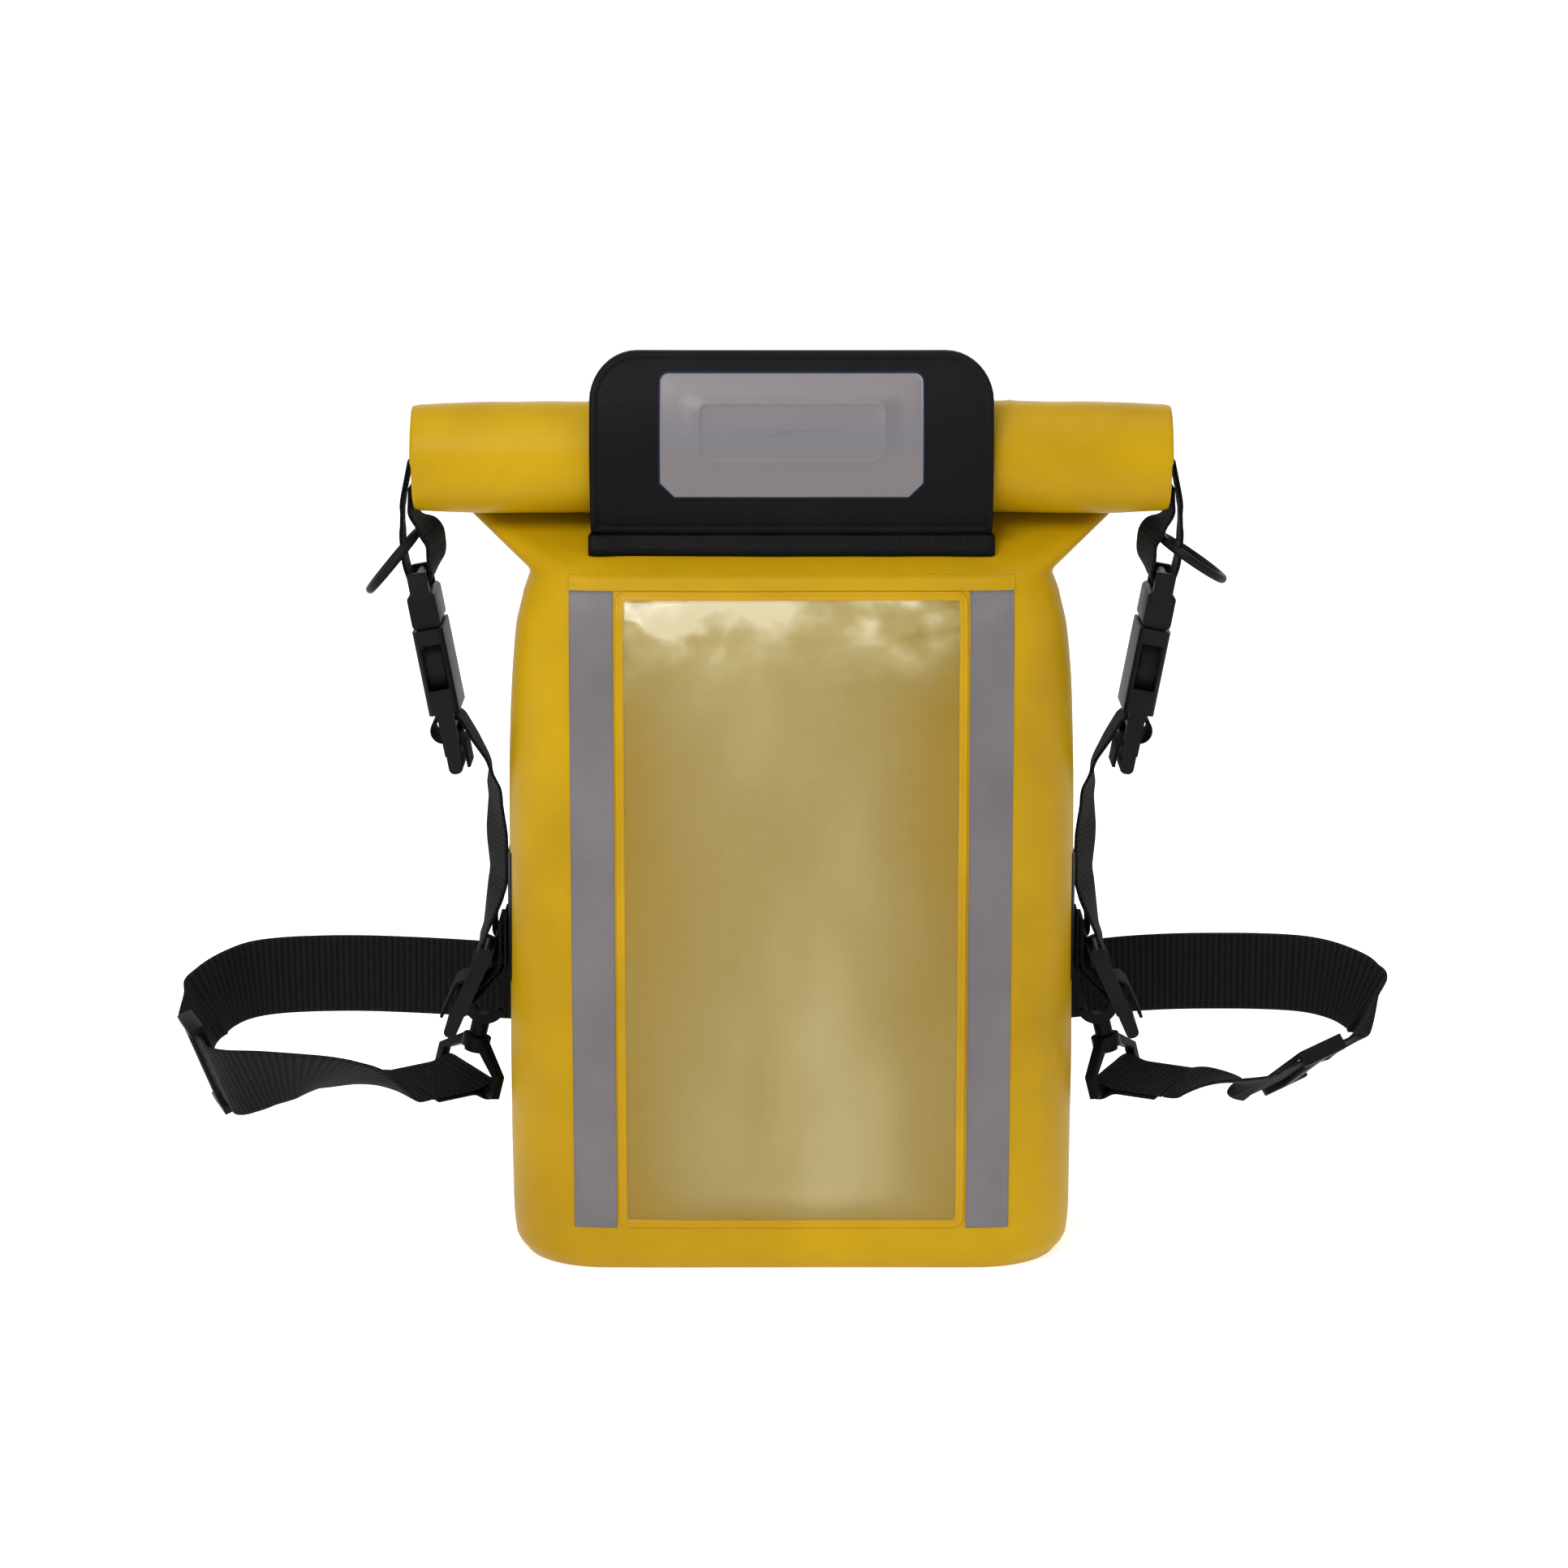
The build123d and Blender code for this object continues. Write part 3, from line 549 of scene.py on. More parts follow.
def spiral(s):
    """Middle of the double sheet after s half turns, its outward direction and its radius, in mm."""
    i = min(int(s), HALF_TURNS - 1)
    radius = ROLL_RADIUS - ROLL_STEP * i
    shift = 0.0 if i % 2 == 0 else -ROLL_STEP
    angle = math.pi * s
    n = (math.cos(angle), math.sin(angle))
    return (ROLL_CENTRE[0] + shift + radius * n[0], ROLL_CENTRE[1] + radius * n[1]), n, radius


def make_roll():
    """Double sheet wound forward, fuller in the middle, its inner turns drawn in at the ends."""
    per_turn, stations = 26, 150
    samples = [i / per_turn for i in range(HALF_TURNS * per_turn + 1)]
    loop = [(s, 1) for s in samples] + [(s, -1) for s in reversed(samples)]
    points, uvs = [], []
    half = HALF_GIRTH / MM
    for k in range(stations):
        # stations crowd towards the ends, where the edge is rounded
        u = -1 + 2 * k / (stations - 1)
        x = half * math.sin(u * math.pi / 2) * 0.35 + half * u * 0.65
        end = abs(x) / half
        for s, face in loop:
            (y, z), n, radius = spiral(s)
            full = 1.0 + 0.030 * (1 - end ** 2) - 0.035 * smooth_step(end, 0.8, 1.0)
            ripple = noise_at(x * 0.022, s * 1.3, 5.0) * 0.55 + noise_at(x * 0.07, s * 2.1, 9.0) * 0.22
            ripple += 0.35 * math.exp(-(((x - ROLL_SEAM_X) / 1.2) ** 2)) * max(0.0, n[1])
            lift = ROLL_SHEET * face * (1 - 0.5 * smooth_step(end, 0.985, 1.0)) + ripple * (radius / ROLL_RADIUS)
            y2 = ROLL_CENTRE[0] + (y - ROLL_CENTRE[0]) * full + n[0] * lift
            z2 = ROLL_CENTRE[1] + (z - ROLL_CENTRE[1]) * full + n[1] * lift
            draw = 1 - 0.035 * (1 - radius / ROLL_RADIUS) * smooth_step(end, 0.7, 1.0)
            wave = 0.5 * noise_at(s * 1.7, 2.0, math.copysign(4.0, x)) * smooth_step(end, 0.9, 1.0)
            points.append(Vector((x * draw - math.copysign(abs(wave), x), y2, z2 - 0.5 * end ** 3)) * MM)
            uvs.append((x * MM, s * 0.03))
    count = len(loop)
    faces = grid_faces(stations, count, wrap=True)
    half_count = len(samples)
    for first, flip in ((0, False), ((stations - 1) * count, True)):
        for i in range(half_count - 1):
            quad = (first + i, first + i + 1, first + count - 2 - i, first + count - 1 - i)
            faces.append(quad if flip else tuple(reversed(quad)))
    roll = make_mesh("roll_shell", points, faces, MATERIALS["yellow"], uvs)
    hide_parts("rolled_mouth")
    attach(roll, "bag")
    return roll


# ---------------------------------------------------------------- plates built from nested outlines
def on_circle(x, z, radius, angle):
    return x + radius * math.cos(math.radians(angle)), z + radius * math.sin(math.radians(angle))


def rounded_outline(half, low, high, low_radius, high_radius, low_steps=8, high_steps=10, run=22):
    """Closed outline in x and z, always the same number of points for the same steps."""
    points = []
    corners = [
        (half - low_radius, low + low_radius, low_radius, -90, low_steps),
        (half - high_radius, high - high_radius, high_radius, 0, high_steps),
        (-half + high_radius, high - high_radius, high_radius, 90, high_steps),
        (-half + low_radius, low + low_radius, low_radius, 180, low_steps),
    ]
    for i, (x, z, radius, start, steps) in enumerate(corners):
        points += [on_circle(x, z, radius, start + 90 * k / steps) for k in range(steps + 1)]
        last, target = points[-1], on_circle(*corners[(i + 1) % 4][:4])
        for k in range(1, run):
            points.append(tuple(a + (b - a) * k / run for a, b in zip(last, target)))
    return points


def nested_plate(name, rings, place, back, materials):
    """rings: (outline, height, material index); place(x, z, height) gives the point; the back is at height back."""
    points, faces, kinds = [], [], []
    count = len(rings[0][0])
    order = [(ring[0], back, 0) for ring in reversed(rings)] + rings
    for outline, height, _ in order:
        for x, z in outline:
            points.append(Vector(place(x, z, height)) * MM)
    for r in range(len(order) - 1):
        for c in range(count):
            d = (c + 1) % count
            faces.append((r * count + c, r * count + d, (r + 1) * count + d, (r + 1) * count + c))
            kinds.append(order[r + 1][2])
    last = (len(order) - 1) * count
    faces.append(tuple(range(last, last + count)))
    faces.append(tuple(range(count - 1, -1, -1)))
    kinds += [order[-1][2], 0]
    plate = make_mesh(name, points, faces, None)
    for material in materials:
        plate.data.materials.append(material)
    plate.data.polygons.foreach_set("material_index", kinds)
    return plate


# ---------------------------------------------------------------- closure flap
BOW_RADIUS = 60.0
BOW_CENTRE = (27.8, 298.5)
# Half width and half height of the raised frame on the label.
FRAME_HALF = (33, 10)


def flap_y(x, z, lift):
    """Front of the bowed flap; it also curls a little towards its sides."""
    dz = z - BOW_CENTRE[1]
    r = BOW_RADIUS + lift
    curl = 1.1 * (abs(x) / 72.5) ** 3
    wave = 0.35 * noise_at(x * 0.03, z * 0.05, 1.0)
    n = math.sqrt(max(0.0, r * r - dz * dz))
    return BOW_CENTRE[0] - n + curl + wave


def on_flap(x, z, lift):
    return x, flap_y(x, z, lift), z


def make_flap():
    low, high = FLAP_LOW.z / MM, FLAP_HIGH.z / MM
    half = FLAP_HIGH.x / MM
    rings = []
    # inset from the edge and height above the panel: rounded edge, raised rim, shallow groove
    profile = [(0.0, -0.5), (0.15, 0.1), (0.6, 0.5), (1.6, 0.6), (2.2, 0.5), (2.6, 0.1), (3.0, -0.12), (3.5, -0.05),
               (4.4, 0.0), (8, 0.0), (13, 0.0), (19, 0.0), (25, 0.0), (30, 0.0), (34.0, 0.0)]
    for inset, height in profile:
        outline = rounded_outline(
            half - inset, low + inset, high - inset, max(1.6 - inset, 0.2), max(17.0 - inset, 0.2)
        )
        rings.append((outline, height, 0))
    plate = nested_plate("flap_sheet", rings, on_flap, -2.0, [MATERIALS["flap"]])
    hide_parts("flap_panel", "flap_rim")
    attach(plate, "flap")
    make_label()


def make_label():
    low, high = LABEL_LOW.z / MM, LABEL_HIGH.z / MM
    half = LABEL_HIGH.x / MM
    middle = low + 0.53 * (high - low)

    def outline(inset, low_radius, high_radius):
        return rounded_outline(half - inset, low + inset, high - inset, low_radius, high_radius, 1, 10)

    def frame_outline(grow):
        radius = max(3.0 + grow * 0.5, 0.3)
        return rounded_outline(FRAME_HALF[0] + grow, middle - FRAME_HALF[1] - grow, middle + FRAME_HALF[1] + grow,
                               radius, radius, 1, 10)

    rings = [(outline(0, 5.5, 3.6), 0.1, 1), (outline(0.15, 5.4, 3.5), 0.5, 1), (outline(0.9, 5.1, 3.0), 0.62, 1)]
    rings += [(outline(1.0, 5.0, 3.0), 0.55, 0), (outline(1.6, 4.8, 2.8), 0.62, 0), (outline(7, 4.5, 3.5), 0.62, 0)]
    ridge = ((1.4, 0.62), (1.0, 0.9), (0.4, 1.0), (-0.3, 0.9), (-0.8, 0.66), (-1.2, 0.62), (-4.5, 0.62), (-9.0, 0.62))
    rings += [(frame_outline(grow), height, 0) for grow, height in ridge]
    plate = nested_plate(
        "flap_label_plate", rings, on_flap, -0.2,
        [MATERIALS["label"], MATERIALS["label_edge"]],
    )
    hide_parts("flap_label")
    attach(plate, "flap")


def make_flap_band():
    """Thick welded foot of the flap: a bead on an upright band with a flange behind it."""
    low, high = BAND_LOW / MM, BAND_HIGH / MM
    half, stations = high.x, 90
    front, top = low.y, high.z

    def shoulder(y):
        # the shoulder rises 23 mm from y -37 to y 8
        return SHOULDER_Z + 23.0 * (y + 37.0) / 45.0

    base = shoulder(front)
    shape = [
        (front + 1.2, base - 0.4), (front - 0.2, base + 0.5), (front - 0.9, base + 1.8), (front - 0.9, base + 3.2),
        (front - 0.3, base + 4.6), (front + 0.5, base + 5.2), (front + 0.9, top - 0.7), (front + 1.8, top),
        (front + 5.0, top), (front + 5.3, top - 0.8), (front + 5.3, shoulder(front + 5.3) + 1.6),
        (front + 6.2, shoulder(front + 6.2) + 1.1), (front + 13.0, shoulder(front + 13.0) + 0.9),
        (front + 13.6, shoulder(front + 13.6) + 0.1),
    ]
    cy, cz = front + 2.5, base + 3.0
    points = []
    for k in range(stations):
        u = -1 + 2 * k / (stations - 1)
        x = half * (0.25 * math.sin(u * math.pi / 2) + 0.75 * u)
        end = smooth_step(abs(u), 0.97, 1.0)
        swell = 1 + 0.16 * math.exp(-(((x + half - 5) / 5.0) ** 2)) - 0.2 * end
        for y, z in shape:
            wobble = 0.25 * noise_at(x * 0.06, y * 0.1, z * 0.1)
            y2, z2 = cy + (y - cy) * swell + wobble, cz + (z - cz) * (1 - 0.12 * end) + wobble * 0.4
            points.append(Vector((x, y2, z2)) * MM)
    count = len(shape)
    faces = [tuple(reversed(f)) for f in grid_faces(stations, count, wrap=True)]
    last = (stations - 1) * count
    faces += [tuple(range(count)), tuple(range(last + count - 1, last - 1, -1))]
    band = make_mesh("flap_foot", points, faces, MATERIALS["flap"])
    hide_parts("flap_base_band")
    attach(band, "bag")


# ---------------------------------------------------------------- sheets that lie on the bag
def on_front(x, z, lift):
    y, n = wall_y(x, z, -1)
    return Vector((x + n[0] * lift, y + n[1] * lift, z)) * MM, Vector((n[0], n[1], 0))


def front_sheet(name, low, high, thickness, rows, columns, material, rise, off):
    """Sheet over the box from low to high, in metres; rise(u, v, x, z) and off lift it from the front, in mm."""
    low, high = low / MM, high / MM

    def surface(u, v):
        x, z = low.x + (high.x - low.x) * u, low.z + (high.z - low.z) * v
        return on_front(x, z, off + rise(u, v, x, z))

    return solid_sheet(name, surface, rows, columns, thickness * MM, material, 0.5)


def ripple_of_film(u, v, x, z):
    """The film lies a little off the panel and is lightly buckled, more so near its top and lower corners."""
    rim = min(1.0, min(u, 1 - u) * 9, min(v, 1 - v) * 14)
    slow = noise_at(x * 0.02, z * 0.011, 21.0)
    quick = noise_at(x * 0.06, z * 0.022, 33.0)
    top = math.exp(-(((v - 0.95) / 0.06) ** 2)) * noise_at(x * 0.05, z * 0.12, 2.0)
    return rim * (1.2 + 0.5 * slow + 0.3 * quick + 0.6 * top)


def seal_ridges(u, v, x, z):
    return 0.35 * (math.exp(-(((v - 0.22) / 0.1) ** 2)) + math.exp(-(((v - 0.8) / 0.1) ** 2)))


def strip_hem(u, v, x, z):
    return 0.12 * (1 - min(1.0, min(u, 1 - u) * 12))


def make_front_sheets():
    pieces = []
    film = front_sheet(
        "window_sheet", WINDOW_LOW, WINDOW_HIGH, 0.45, 190, 110, MATERIALS["film"], ripple_of_film, 0.45
    )
    pieces.append((film, "window_film", "window_clear"))

    low, high = BORDER_LOW / MM, BORDER_HIGH / MM
    rings = []
    profile = ((0, 0.0), (0.15, 0.45), (0.6, 0.75), (1.2, 0.5), (1.6, 0.45), (2.0, 0.8), (2.7, 0.85), (3.3, 0.5),
               (3.5, 0.1))
    for inset, height in profile:
        radius = max(4.0 - inset, 0.6)
        outline = rounded_outline(high.x - inset, low.z + inset, high.z - inset, radius, radius, 8, 8, 60)
        rings.append((outline, height))
    points = [on_front(x, z, 0.05 + height)[0] for outline, height in rings for x, z in outline]
    count = len(rings[0][0])
    faces = grid_faces(len(rings), count, wrap=True)
    border = make_mesh("window_weld", points, faces, MATERIALS["border"])
    pieces.append((border, "window_border", "border_yellow"))

    seal = front_sheet("seal_sheet", SEAL_LOW, SEAL_HIGH, 0.35, 14, 120, MATERIALS["yellow"], seal_ridges, 0.1)
    pieces.append((seal, "pocket_seal_band", "border_yellow"))

    for side in SIDES:
        low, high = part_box("reflective_strip_" + side)
        name = "reflective_sheet_" + side
        strip = front_sheet(name, low, high, 0.3, 150, 18, MATERIALS["strip"], strip_hem, 0.12)
        pieces.append((strip, "reflective_strip_" + side, "reflective_grey"))
    for piece, node, slot in pieces:
        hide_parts(node)
        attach(piece, "bag")


PATCH_THICK = 0.6


def make_patches():
    low, high = (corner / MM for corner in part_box("back_patch"))

    def back_surface(u, v):
        x, z = low.x + (high.x - low.x) * u, low.z + (high.z - low.z) * v
        y, n = wall_y(x, z, 1)
        stitch = 0.25 * (1 - min(1.0, min(min(u, 1 - u) * 45, min(v, 1 - v) * 16)))
        return Vector((x + n[0] * 0.1, y + n[1] * (0.1 - stitch * 0.3), z)) * MM, Vector((n[0], n[1], 0))

    patch = solid_sheet("back_patch_sheet", back_surface, 50, 120, PATCH_THICK * MM, MATERIALS["patch"], 0.6)
    # outward is +Y here, so the faces are turned round
    patch.data.flip_normals()
    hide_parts("back_patch")
    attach(patch, "bag")
    for side, sign in SIDES.items():
        low, high = (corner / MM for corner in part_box("side_patch_" + side))

        def side_surface(u, v, sign=sign, low=low, high=high):
            y, z = low.y + (high.y - low.y) * u, low.z + (high.z - low.z) * v
            half_x, half_y, radius = section_at(z)[:3]
            over = min(max(abs(y) - (half_y - radius), 0.0), radius * 0.98)
            reach = math.sqrt(radius * radius - over * over)
            x, n = half_x - radius + reach, (reach / radius, math.copysign(over / radius, y))
            lift = relief(y + 200 * sign, z, 0) * n[0] ** 4 + 0.1
            return Vector((sign * (x + n[0] * lift), y + n[1] * lift, z)) * MM, Vector((sign * n[0], n[1], 0))

        patch = solid_sheet("side_patch_sheet_" + side, side_surface, 40, 60, PATCH_THICK * MM, MATERIALS["patch"], 0.6)
        if sign < 0:
            patch.data.flip_normals()
        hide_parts("side_patch_" + side)
        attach(patch, "bag")


# ---------------------------------------------------------------- webbing
STRAP_THICK, BELT_THICK, KEEPER_THICK = 1.3, 1.35, 1.1
KEEPER_X, KEEPER_WIDTH = 58, 25.0
STITCH_PITCH, STITCH_LENGTH, STITCH_RADIUS = 2.5, 1.8, 0.26
# The strap's section, across and through, as shares of its half width and its thickness.
STRAP_PROFILE = [(-1.0, 0.0), (-0.955, 0.42), (-0.86, 0.5), (-0.45, 0.47), (0.0, 0.5), (0.45, 0.47), (0.86, 0.5),
                 (0.955, 0.42)]
STRAP_PROFILE += [(-u, -v) for u, v in STRAP_PROFILE]
BUCKLE_TOP, BUCKLE_TILT = (136.5, 257.0), 10.5
ADJUSTER_TOP, ADJUSTER_TILT = (112.0, 116.0), -24.0
STRAP_Y, ANCHOR_Y = -6.0, 21.2
HOOK_TOP, HOOK_TILT, EYE_BAR = (112.6, 98.5), 14.0, -45.0
EYE_TURN = {"right": 60.0, "left": 50.0}
# Middle of the D-ring's bar in x and z, and how far the webbing's middle lies from it.
D_BAR, D_REACH = (109.0, 115.0), 3.05
BELT_Z, BELT_Y, BELT_WIDTH, BELT_TEETH, TAB_WIDTH = 84.0, 52.0, 30.0, 0.3, 19.0
# Stations are x, y, z on the right in mm and the lean of the belt's width from upright, in degrees.
BELT_ROUTE = {
    "left": [(96.4, 52, 84, 0), (112, 54.4, 84.2, 0), (130, 58, 84.5, 0), (148, 60.5, 84.8, 0), (165, 62, 85, 0),
             (182, 61.8, 85, 0), (198, 59.5, 84.8, 0), (209, 55, 84.2, -1), (217, 48, 82.5, -2), (223, 41, 79.5, -7),
             (226.5, 35, 75, -13), (227, 22, 67.5, -22), (225.2, 17.2, 67.14, -22), (219.5, 2, 66, -22),
             (213.8, -13.2, 64.86, -22), (212, -18, 64.5, -22),
             (205, -24, 66, -26), (194, -27, 68, -33), (180, -26, 68.5, -44), (168, -19, 66.5, -60), (159, -9.5, 61.5, -76)],
    "right": [(96.4, 52, 84, 0), (112, 55, 84.6, 0), (130, 59, 85.5, 0), (148, 61.4, 85.9, 0), (165, 62, 86, 0),
              (182, 61, 86.1, 0), (197, 58, 86, 0), (207, 53.5, 85.2, -1), (215, 47, 83.5, -4), (220, 41, 81, -11),
              (221.5, 34, 77, -24), (212, 21, 68, -56), (207.56, 18.24, 66.74, -56), (193.5, 9.5, 62.75, -56),
              (179.44, 0.76, 58.76, -56), (175, -2, 57.5, -56), (166, -3.5, 60, -74)],
}


def turned(origin, angle, x, z):
    """Point x, z of a piece whose own origin is at origin, leaning by angle in degrees."""
    tilt = math.radians(angle)
    return origin[0] + x * math.cos(tilt) + z * math.sin(tilt), origin[1] - x * math.sin(tilt) + z * math.cos(tilt)


def rounded_path(points, radius, steps=7):
    """Points along a path with its corners eased."""
    points = [Vector(p) for p in points]
    path = [points[0]]
    for before, corner, after in zip(points, points[1:], points[2:]):
        a, b = before - corner, after - corner
        cut_a, cut_b = min(radius, 0.48 * a.length), min(radius, 0.48 * b.length)
        p, q = corner + a.normalized() * cut_a, corner + b.normalized() * cut_b
        for k in range(steps + 1):
            t = k / steps
            path.append(p * (1 - t) ** 2 + corner * 2 * t * (1 - t) + q * t * t)
    path.append(points[-1])
    return path


def spline_path(stations, per=12):
    """Catmull-Rom curve through stations of any length, as numbers."""
    rows = [np.array(s, float) for s in stations]
    path = []
    for i in range(len(rows) - 1):
        p0, p1, p2, p3 = rows[max(i - 1, 0)], rows[i], rows[i + 1], rows[min(i + 2, len(rows) - 1)]
        for k in range(per):
            t = k / per
            square, cube = 2 * p0 - 5 * p1 + 4 * p2 - p3, 3 * p1 - p0 - 3 * p2 + p3
            path.append(0.5 * (2 * p1 + (p2 - p0) * t + square * t * t + cube * t ** 3))
    path.append(rows[-1])
    return path


def resample(path, acrosses, pitch):
    """Even steps along a path, with the width direction carried along."""
    lengths = [0.0]
    for a, b in zip(path, path[1:]):
        lengths.append(lengths[-1] + (b - a).length)
    count = max(3, int(lengths[-1] / pitch) + 1)
    centres, across, i = [], [], 0
    for k in range(count):
        s = lengths[-1] * k / (count - 1)
        while i < len(path) - 2 and lengths[i + 1] < s:
            i += 1
        t = (s - lengths[i]) / max(1e-9, lengths[i + 1] - lengths[i])
        centres.append(path[i].lerp(path[i + 1], t))
        across.append(acrosses[i].lerp(acrosses[i + 1], t).normalized())
    return centres, across


def tangent_at(path, i):
    return (path[min(i + 1, len(path) - 1)] - path[max(i - 1, 0)]).normalized()


def ribbon(name, path, acrosses, width, thickness, material, node, teeth=0.22, move=True, pitch=1.05):
    """Woven strap with rounded, toothed edges. path in mm; UV map Run holds metres along and across."""
    centres, across = resample(path, acrosses, pitch)
    points, uvs = [], []
    for i, (centre, wide) in enumerate(zip(centres, across)):
        tangent = tangent_at(centres, i)
        wide = (wide - tangent * wide.dot(tangent)).normalized()
        normal = tangent.cross(wide)
        tooth = teeth if i % 2 else -teeth
        for u, v in STRAP_PROFILE:
            reach = u * width / 2
            if abs(u) > 0.9:
                reach += math.copysign(tooth * (1.0 if abs(u) == 1.0 else 0.6), u)
            points.append((centre + wide * reach + normal * v * thickness) * MM)
            uvs.append((i * pitch * MM, reach * MM))
    count = len(STRAP_PROFILE)
    faces = grid_faces(len(centres), count, wrap=True)
    faces += [tuple(range(count - 1, -1, -1)), tuple(range((len(centres) - 1) * count, len(centres) * count))]
    piece = make_mesh(name, points, faces, material, uvs)
    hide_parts(node)
    if move:
        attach(piece, "bag")
    return piece


def flat_ribbon(name, points, radius, lane, node, sign, leans=None, move=True):
    """Strap bent in an upright plane at depth lane; points are x, z on the right; leans twist it at each."""
    path = rounded_path([(sign * x, lane, z) for x, z in points], radius)
    acrosses = [Vector((0, 1, 0))] * len(path)
    if leans:
        knots = [(Vector((sign * x, lane, z)), lean) for (x, z), lean in zip(points, leans)]
        acrosses = []
        for i, p in enumerate(path):
            weights = [1 / ((p - knot).length + 0.5) ** 3 for knot, _ in knots]
            lean = sum(weight * lean for weight, (_, lean) in zip(weights, knots)) / sum(weights)
            turn = Matrix.Rotation(math.radians(lean * sign), 3, tangent_at(path, i))
            acrosses.append(turn @ Vector((0, 1, 0)))
    return ribbon(name, path, acrosses, TAB_WIDTH, STRAP_THICK, MATERIALS["webbing"], node, move=move)


def capsule(points, faces, start, end, normal, radius, rise):
    """One stitch: a short arched thread."""
    along = (end - start).normalized()
    side = normal.cross(along).normalized()
    first = len(points)
    rings = [(0.0, 0.35, 0.0), (0.12, 0.8, 0.55), (0.5, 1.0, 1.0), (0.88, 0.8, 0.55), (1.0, 0.35, 0.0)]
    for t, size, up in rings:
        centre = start.lerp(end, t) + normal * rise * up
        for k in range(6):
            a = math.tau * k / 6
            points.append((centre + (side * math.cos(a) + normal * math.sin(a)) * radius * size) * MM)
    faces += grid_faces(len(rings), 6, wrap=True, first=first)
    faces += [tuple(range(first + 5, first - 1, -1)), tuple(range(first + 24, first + 30))]


def stitches(name, lines, placed):
    """Rows of stitches along straight lines in mm; placed(a, b) gives a stitch's two ends and its outward direction."""
    points, faces = [], []
    for start, end in lines:
        start, end = Vector(start), Vector(end)
        count = max(1, int((end - start).length / STITCH_PITCH))
        half = 0.5 * STITCH_LENGTH / (end - start).length
        for k in range(count):
            middle = (k + 0.5) / count
            first, last, normal = placed(start.lerp(end, middle - half), start.lerp(end, middle + half))
            capsule(points, faces, first, last, normal, STITCH_RADIUS, STITCH_RADIUS * 0.6)
    piece = make_mesh(name, points, faces, MATERIALS["thread"])
    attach(piece, "bag")
    return piece


def box_lines(x0, x1, z0, z1):
    """The four sides and two diagonals of a box seam."""
    a, b, c, d = (x0, z0), (x1, z0), (x1, z1), (x0, z1)
    return [(a, b), (b, c), (c, d), (d, a), (a, c), (d, b)]


def make_side_webbing(side, sign):
    bar = turned(BUCKLE_TOP, BUCKLE_TILT, 0, -4.0)
    tab = [
        (138.4, 296.0), (141.6, 281.0), (142.0, 268.0), (bar[0] + 5.4, bar[1] + 5.0), (bar[0] + 2.6, bar[1] - 3.3),
        (bar[0] - 4.2, bar[1] - 2.4), (129.4, 263.0), (130.9, 269.3), (138.4, 275.4), (138.4, 286.0),
    ]
    twist = [0, 0, 0, 0, 0, 0, 16, 20, 4, 0]
    flat_ribbon("tab_strap_" + side, tab, 4.0, STRAP_Y, "tab_webbing_" + side, sign, twist)

    upper = [(-4.4, -76.0), (-4.4, -65.8), (4.8, -65.4), (7.2, -61.0), (4.4, -56.6), (-4.2, -56.6), (-6.8, -64.0)]
    lower = [(2.7, 0.0), (2.7, -5.5), (-2.7, -11.0), (-2.7, -15.0), (5.2, -17.8), (5.2, -33.0)]
    run = [turned(BUCKLE_TOP, BUCKLE_TILT, x, z) for x, z in upper]
    run += [(111.5, 184.0), (109.4, 172.0), (108.9, 155.0), (108.4, 140.0)]
    run += [turned(ADJUSTER_TOP, ADJUSTER_TILT, x, z) for x, z in lower]
    twist = [0] * 7 + [4, 18, 26, 22, 6] + [0] * 5
    strap = flat_ribbon("side_run_" + side, run, 3.2, STRAP_Y, "side_strap_" + side, sign, twist, move=False)
    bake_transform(strap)

    low = -22.0
    wrap = [(-3.0, low - 2.6), (3.0, low - 2.9), (3.0, low + 2.9), (-1.5, low + 2.9), (-3.2, low + 4.3)]
    anchor = [(105.8, 127.0), (105.8, 106.0)] + [turned(ADJUSTER_TOP, ADJUSTER_TILT, x, z) for x, z in wrap]
    anchor += [(107.9, 106.6), (107.6, 125.0)]
    flat_ribbon("strap_anchor_run_" + side, anchor, 2.4, STRAP_Y, "strap_anchor_" + side, sign)

    x, z = D_BAR
    reach = D_REACH
    loop = [(x - reach, 144), (x - reach, z - reach), (x + reach, z - reach), (x + reach, z + 4.0), (x - 0.9, 128),
            (x - 0.9, 144)]
    flat_ribbon("ring_anchor_run_" + side, loop, 3.0, ANCHOR_Y, "anchor_webbing_" + side, sign)

    keeper = [(49.9, 25), (50.2, 19), (53.9, 16), (53.9, -16), (50.2, -19), (49.9, -25)]
    path = rounded_path([(sign * KEEPER_X, y, BELT_Z + up) for y, up in keeper], 2.5)
    across = [Vector((1, 0, 0))] * len(path)
    ribbon("keeper_run_" + side, path, across, KEEPER_WIDTH, KEEPER_THICK, MATERIALS["webbing"], "belt_keeper_" + side)


def eye_frame(side):
    """Middle of the swivel eye's bar, the bar's direction and the way the belt leaves it, on the right."""
    tilt, turn = math.radians(HOOK_TILT), math.radians(EYE_TURN[side])
    centre = Vector((HOOK_TOP[0] - EYE_BAR * math.sin(tilt), ANCHOR_Y, HOOK_TOP[1] + EYE_BAR * math.cos(tilt)))
    bar = Vector((math.cos(turn) * math.cos(tilt), math.sin(turn), math.cos(turn) * math.sin(tilt)))
    return centre, bar, bar.cross(Vector((0, 0, 1))).normalized()


def mirrored(v, sign):
    return Vector((v.x * sign, v.y, v.z))


